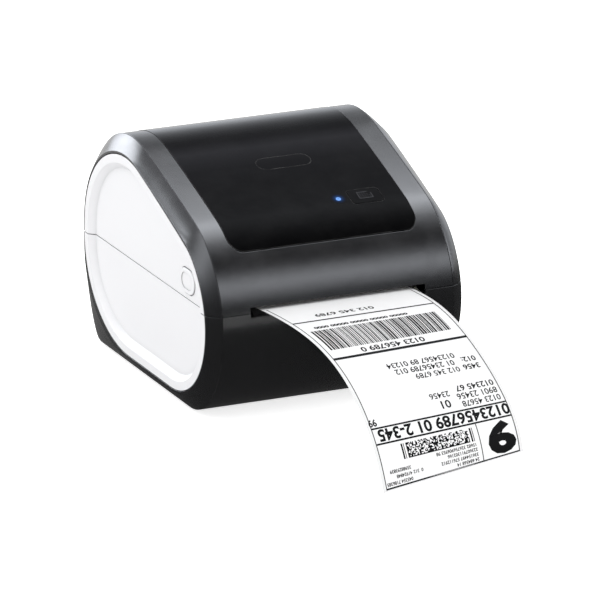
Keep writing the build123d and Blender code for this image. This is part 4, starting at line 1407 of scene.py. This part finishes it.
@dataclass
class FrameDresser:
    """Gives every CAD node its finish by the slot that the record names for it."""

    extra: dict[Slot, object] = field(default_factory=dict)

    def build(self) -> dict[Slot, bpy.types.Material]:
        """Makes each material once and puts it on its nodes.

        Returns:
            The materials by slot.
        """
        made = {slot: finish.build() for slot, finish in {**NODE_FINISHES, **self.extra}.items()}
        for name, node in frame["nodes"].items():
            slot = Slot(node.data.materials[0].name.split(".")[0])
            node.data.materials.clear()
            node.data.materials.append(made[slot])
            log.info("node %s in %s", name, made[slot].name)
        return made


# ------------------------------------------------------------------ studio
@dataclass
class Studio:
    """The pale floor, the soft light and the camera."""

    camera_place: Point = (-1.643, -3.5935, 1.347)
    aim: Point = (0.0126, 0.0673, 0.0484)
    lens: float = 409.9
    floor_half: float = 30.0
    floor_drop: float = 0.0003
    floor_tone: float = 0.93
    floor_lift: float = 0.75
    gloss_span: Place = (0.1, 0.7)
    gloss_levels: Place = (0.07, 0.95)
    fill: float = 1.2
    box_peak: float = 8.0
    box_tint: Colour = (0.93, 0.965, 1.03)
    left_blend: Place = (0.12, -0.2)
    over_levels: tuple[Place, ...] = (
        (0.0, 1.15), (12.0, 1.1), (27.0, 0.81), (36.0, 0.48), (50.0, 0.42), (54.0, 0.6), (57.0, 1.9),
        (60.5, 4.1), (74.0, 3.9), (81.0, 3.1), (90.0, 1.7), (98.0, 0.9), (108.0, 0.2), (120.0, 0.03),
        (128.0, 0.2), (134.0, 1.0), (145.0, 2.5), (154.0, 1.5), (162.0, 0.5), (172.0, 0.1), (180.0, 0.05),
    )
    left_levels: tuple[Place, ...] = (
        (0.0, 3.6), (5.0, 4.8), (15.0, 6.5), (28.0, 7.4), (36.0, 6.0), (41.0, 3.4), (45.0, 1.7), (49.0, 0.8),
        (53.0, 0.5), (58.0, 0.5), (64.0, 0.8), (74.0, 1.6), (88.0, 2.1), (97.0, 2.2), (106.0, 1.8),
        (116.0, 1.1), (127.0, 0.7), (139.0, 0.32), (153.0, 0.14), (174.0, 0.06),
    )

    def camera(self) -> None:
        """Makes the camera."""
        data = bpy.data.cameras.new("camera")
        data.lens = self.lens
        data.sensor_width = 36.0
        data.clip_end = 200.0
        camera = bpy.data.objects.new("camera", data)
        bpy.context.scene.collection.objects.link(camera)
        camera.location = self.camera_place
        look = Vector(self.aim) - Vector(self.camera_place)
        camera.rotation_euler = look.to_track_quat("-Z", "Y").to_euler()
        bpy.context.scene.camera = camera

    def floor(self) -> None:
        """Makes the floor, which gloss sees darker in front and pale behind."""
        half, z = self.floor_half, -self.floor_drop
        corners = [(-half, -half, z), (half, -half, z), (half, half, z), (-half, half, z)]
        floor = mesh_piece("floor", corners, [(0, 1, 2, 3)])
        material = bpy.data.materials.new("pale_floor")
        material.use_nodes = True
        g = Graph(material.node_tree)
        plain = g.node("BsdfDiffuse", {0: grey(self.floor_tone)})
        along = g.node("SeparateXYZ", {0: g.node("NewGeometry").outputs["Position"]}).outputs[1]
        level = g.remap(along, *self.gloss_span, *self.gloss_levels)
        seen = g.node("Emission", {0: grey(1.0), 1: level})
        lift = g.node("Emission", {0: grey(1.0), 1: self.floor_lift})
        ray = g.node("LightPath")
        pale = g.node("AddShader", {0: plain.outputs[0], 1: lift.outputs[0]})
        to_camera, to_gloss = ray.outputs["Is Camera Ray"], ray.outputs["Is Glossy Ray"]
        direct = g.node("MixShader", {0: to_camera, 1: plain.outputs[0], 2: pale.outputs[0]})
        both = g.node("MixShader", {0: to_gloss, 1: direct.outputs[0], 2: seen.outputs[0]})
        out = g.node("OutputMaterial")
        g.link(both.outputs[0], out.inputs["Surface"])
        floor.data.materials.append(material)

    def light(self) -> None:
        """Makes the room: even fill for matt faces, and long soft boxes for gloss."""
        world = bpy.data.worlds.new("soft_room")
        bpy.context.scene.world = world
        world.use_nodes = True
        g = Graph(world.node_tree)
        toward = g.node("TexCoord").outputs["Generated"]
        gloss = g.node("LightPath").outputs["Is Glossy Ray"]
        tinted = g.mix(1.0, self._boxes(g, toward), (*self.box_tint, 1.0), "MULTIPLY")
        colour = g.mix(gloss, grey(self.fill), tinted)
        back = g.node("Background", {0: colour, 1: 1.0})
        out = g.node("OutputWorld")
        g.link(back.outputs[0], out.inputs["Surface"])

    def _boxes(self, g: Graph, toward: Socket) -> Socket:
        """Soft boxes that lie along X, one row over the object and one to its left.

        Args:
            g: the world's graph.
            toward: the direction that is looked up.

        Returns:
            Their brightness.
        """
        way = g.node("SeparateXYZ", {0: toward})
        turn = g.math("DIVIDE", g.math("ARCTAN2", way.outputs[2], way.outputs[1]), math.pi)
        rows = []
        for levels in (self.over_levels, self.left_levels):
            rows.append(g.ramp(turn, [(angle / 180, level / self.box_peak) for angle, level in levels]))
        left = g.remap(way.outputs[0], *self.left_blend, 0.0, 1.0)
        both = g.mix(left, rows[0], rows[1])
        return g.mix(1.0, both, grey(self.box_peak), "MULTIPLY")

    def build(self) -> None:
        """Makes the camera, the floor and the light."""
        self.camera()
        self.floor()
        self.light()
        bpy.context.scene.view_settings.view_transform = "Standard"
        log.info("studio ready, camera at %s", tuple(self.camera_place))


def main() -> None:
    """Builds the studio, the finishes and the modelled pieces in order."""
    logging.basicConfig(level=logging.INFO, format="%(name)s: %(message)s")
    Studio().build()
    marks = WindowMarks()
    lamp = tuple(marks.lamp_place())
    roll = centre_of("label_roll")
    made = FrameDresser({
        Slot.LAMP_BLUE: LampLens("blue_lamp_lens", middle=lamp),
        Slot.LABEL_PAPER: Paper("wound_label_paper", rings=3300.0, axis=(roll.y, roll.z)),
        Slot.CORE_BOARD: Paper(
            "grey_core_board", (0.42, 0.36, 0.29), (0.36, 0.30, 0.24), 0.8, 900.0, 0.00002, 2500.0,
            (roll.y, roll.z)
        ),
    }).build()
    marks.halo(LampHalo("blue_lamp_spill", middle=lamp).build())
    marks.key_mark(Ink("grey_key_mark", (0.045, 0.045, 0.05), (0.07, 0.07, 0.075)).build())
    LabelSheet().build(Paper("thermal_label_paper").build(), Ink("thermal_print").build())
    for spring in springs():
        spring.build(made[Slot.TURNED_STEEL])


if __name__ == "__main__":
    main()
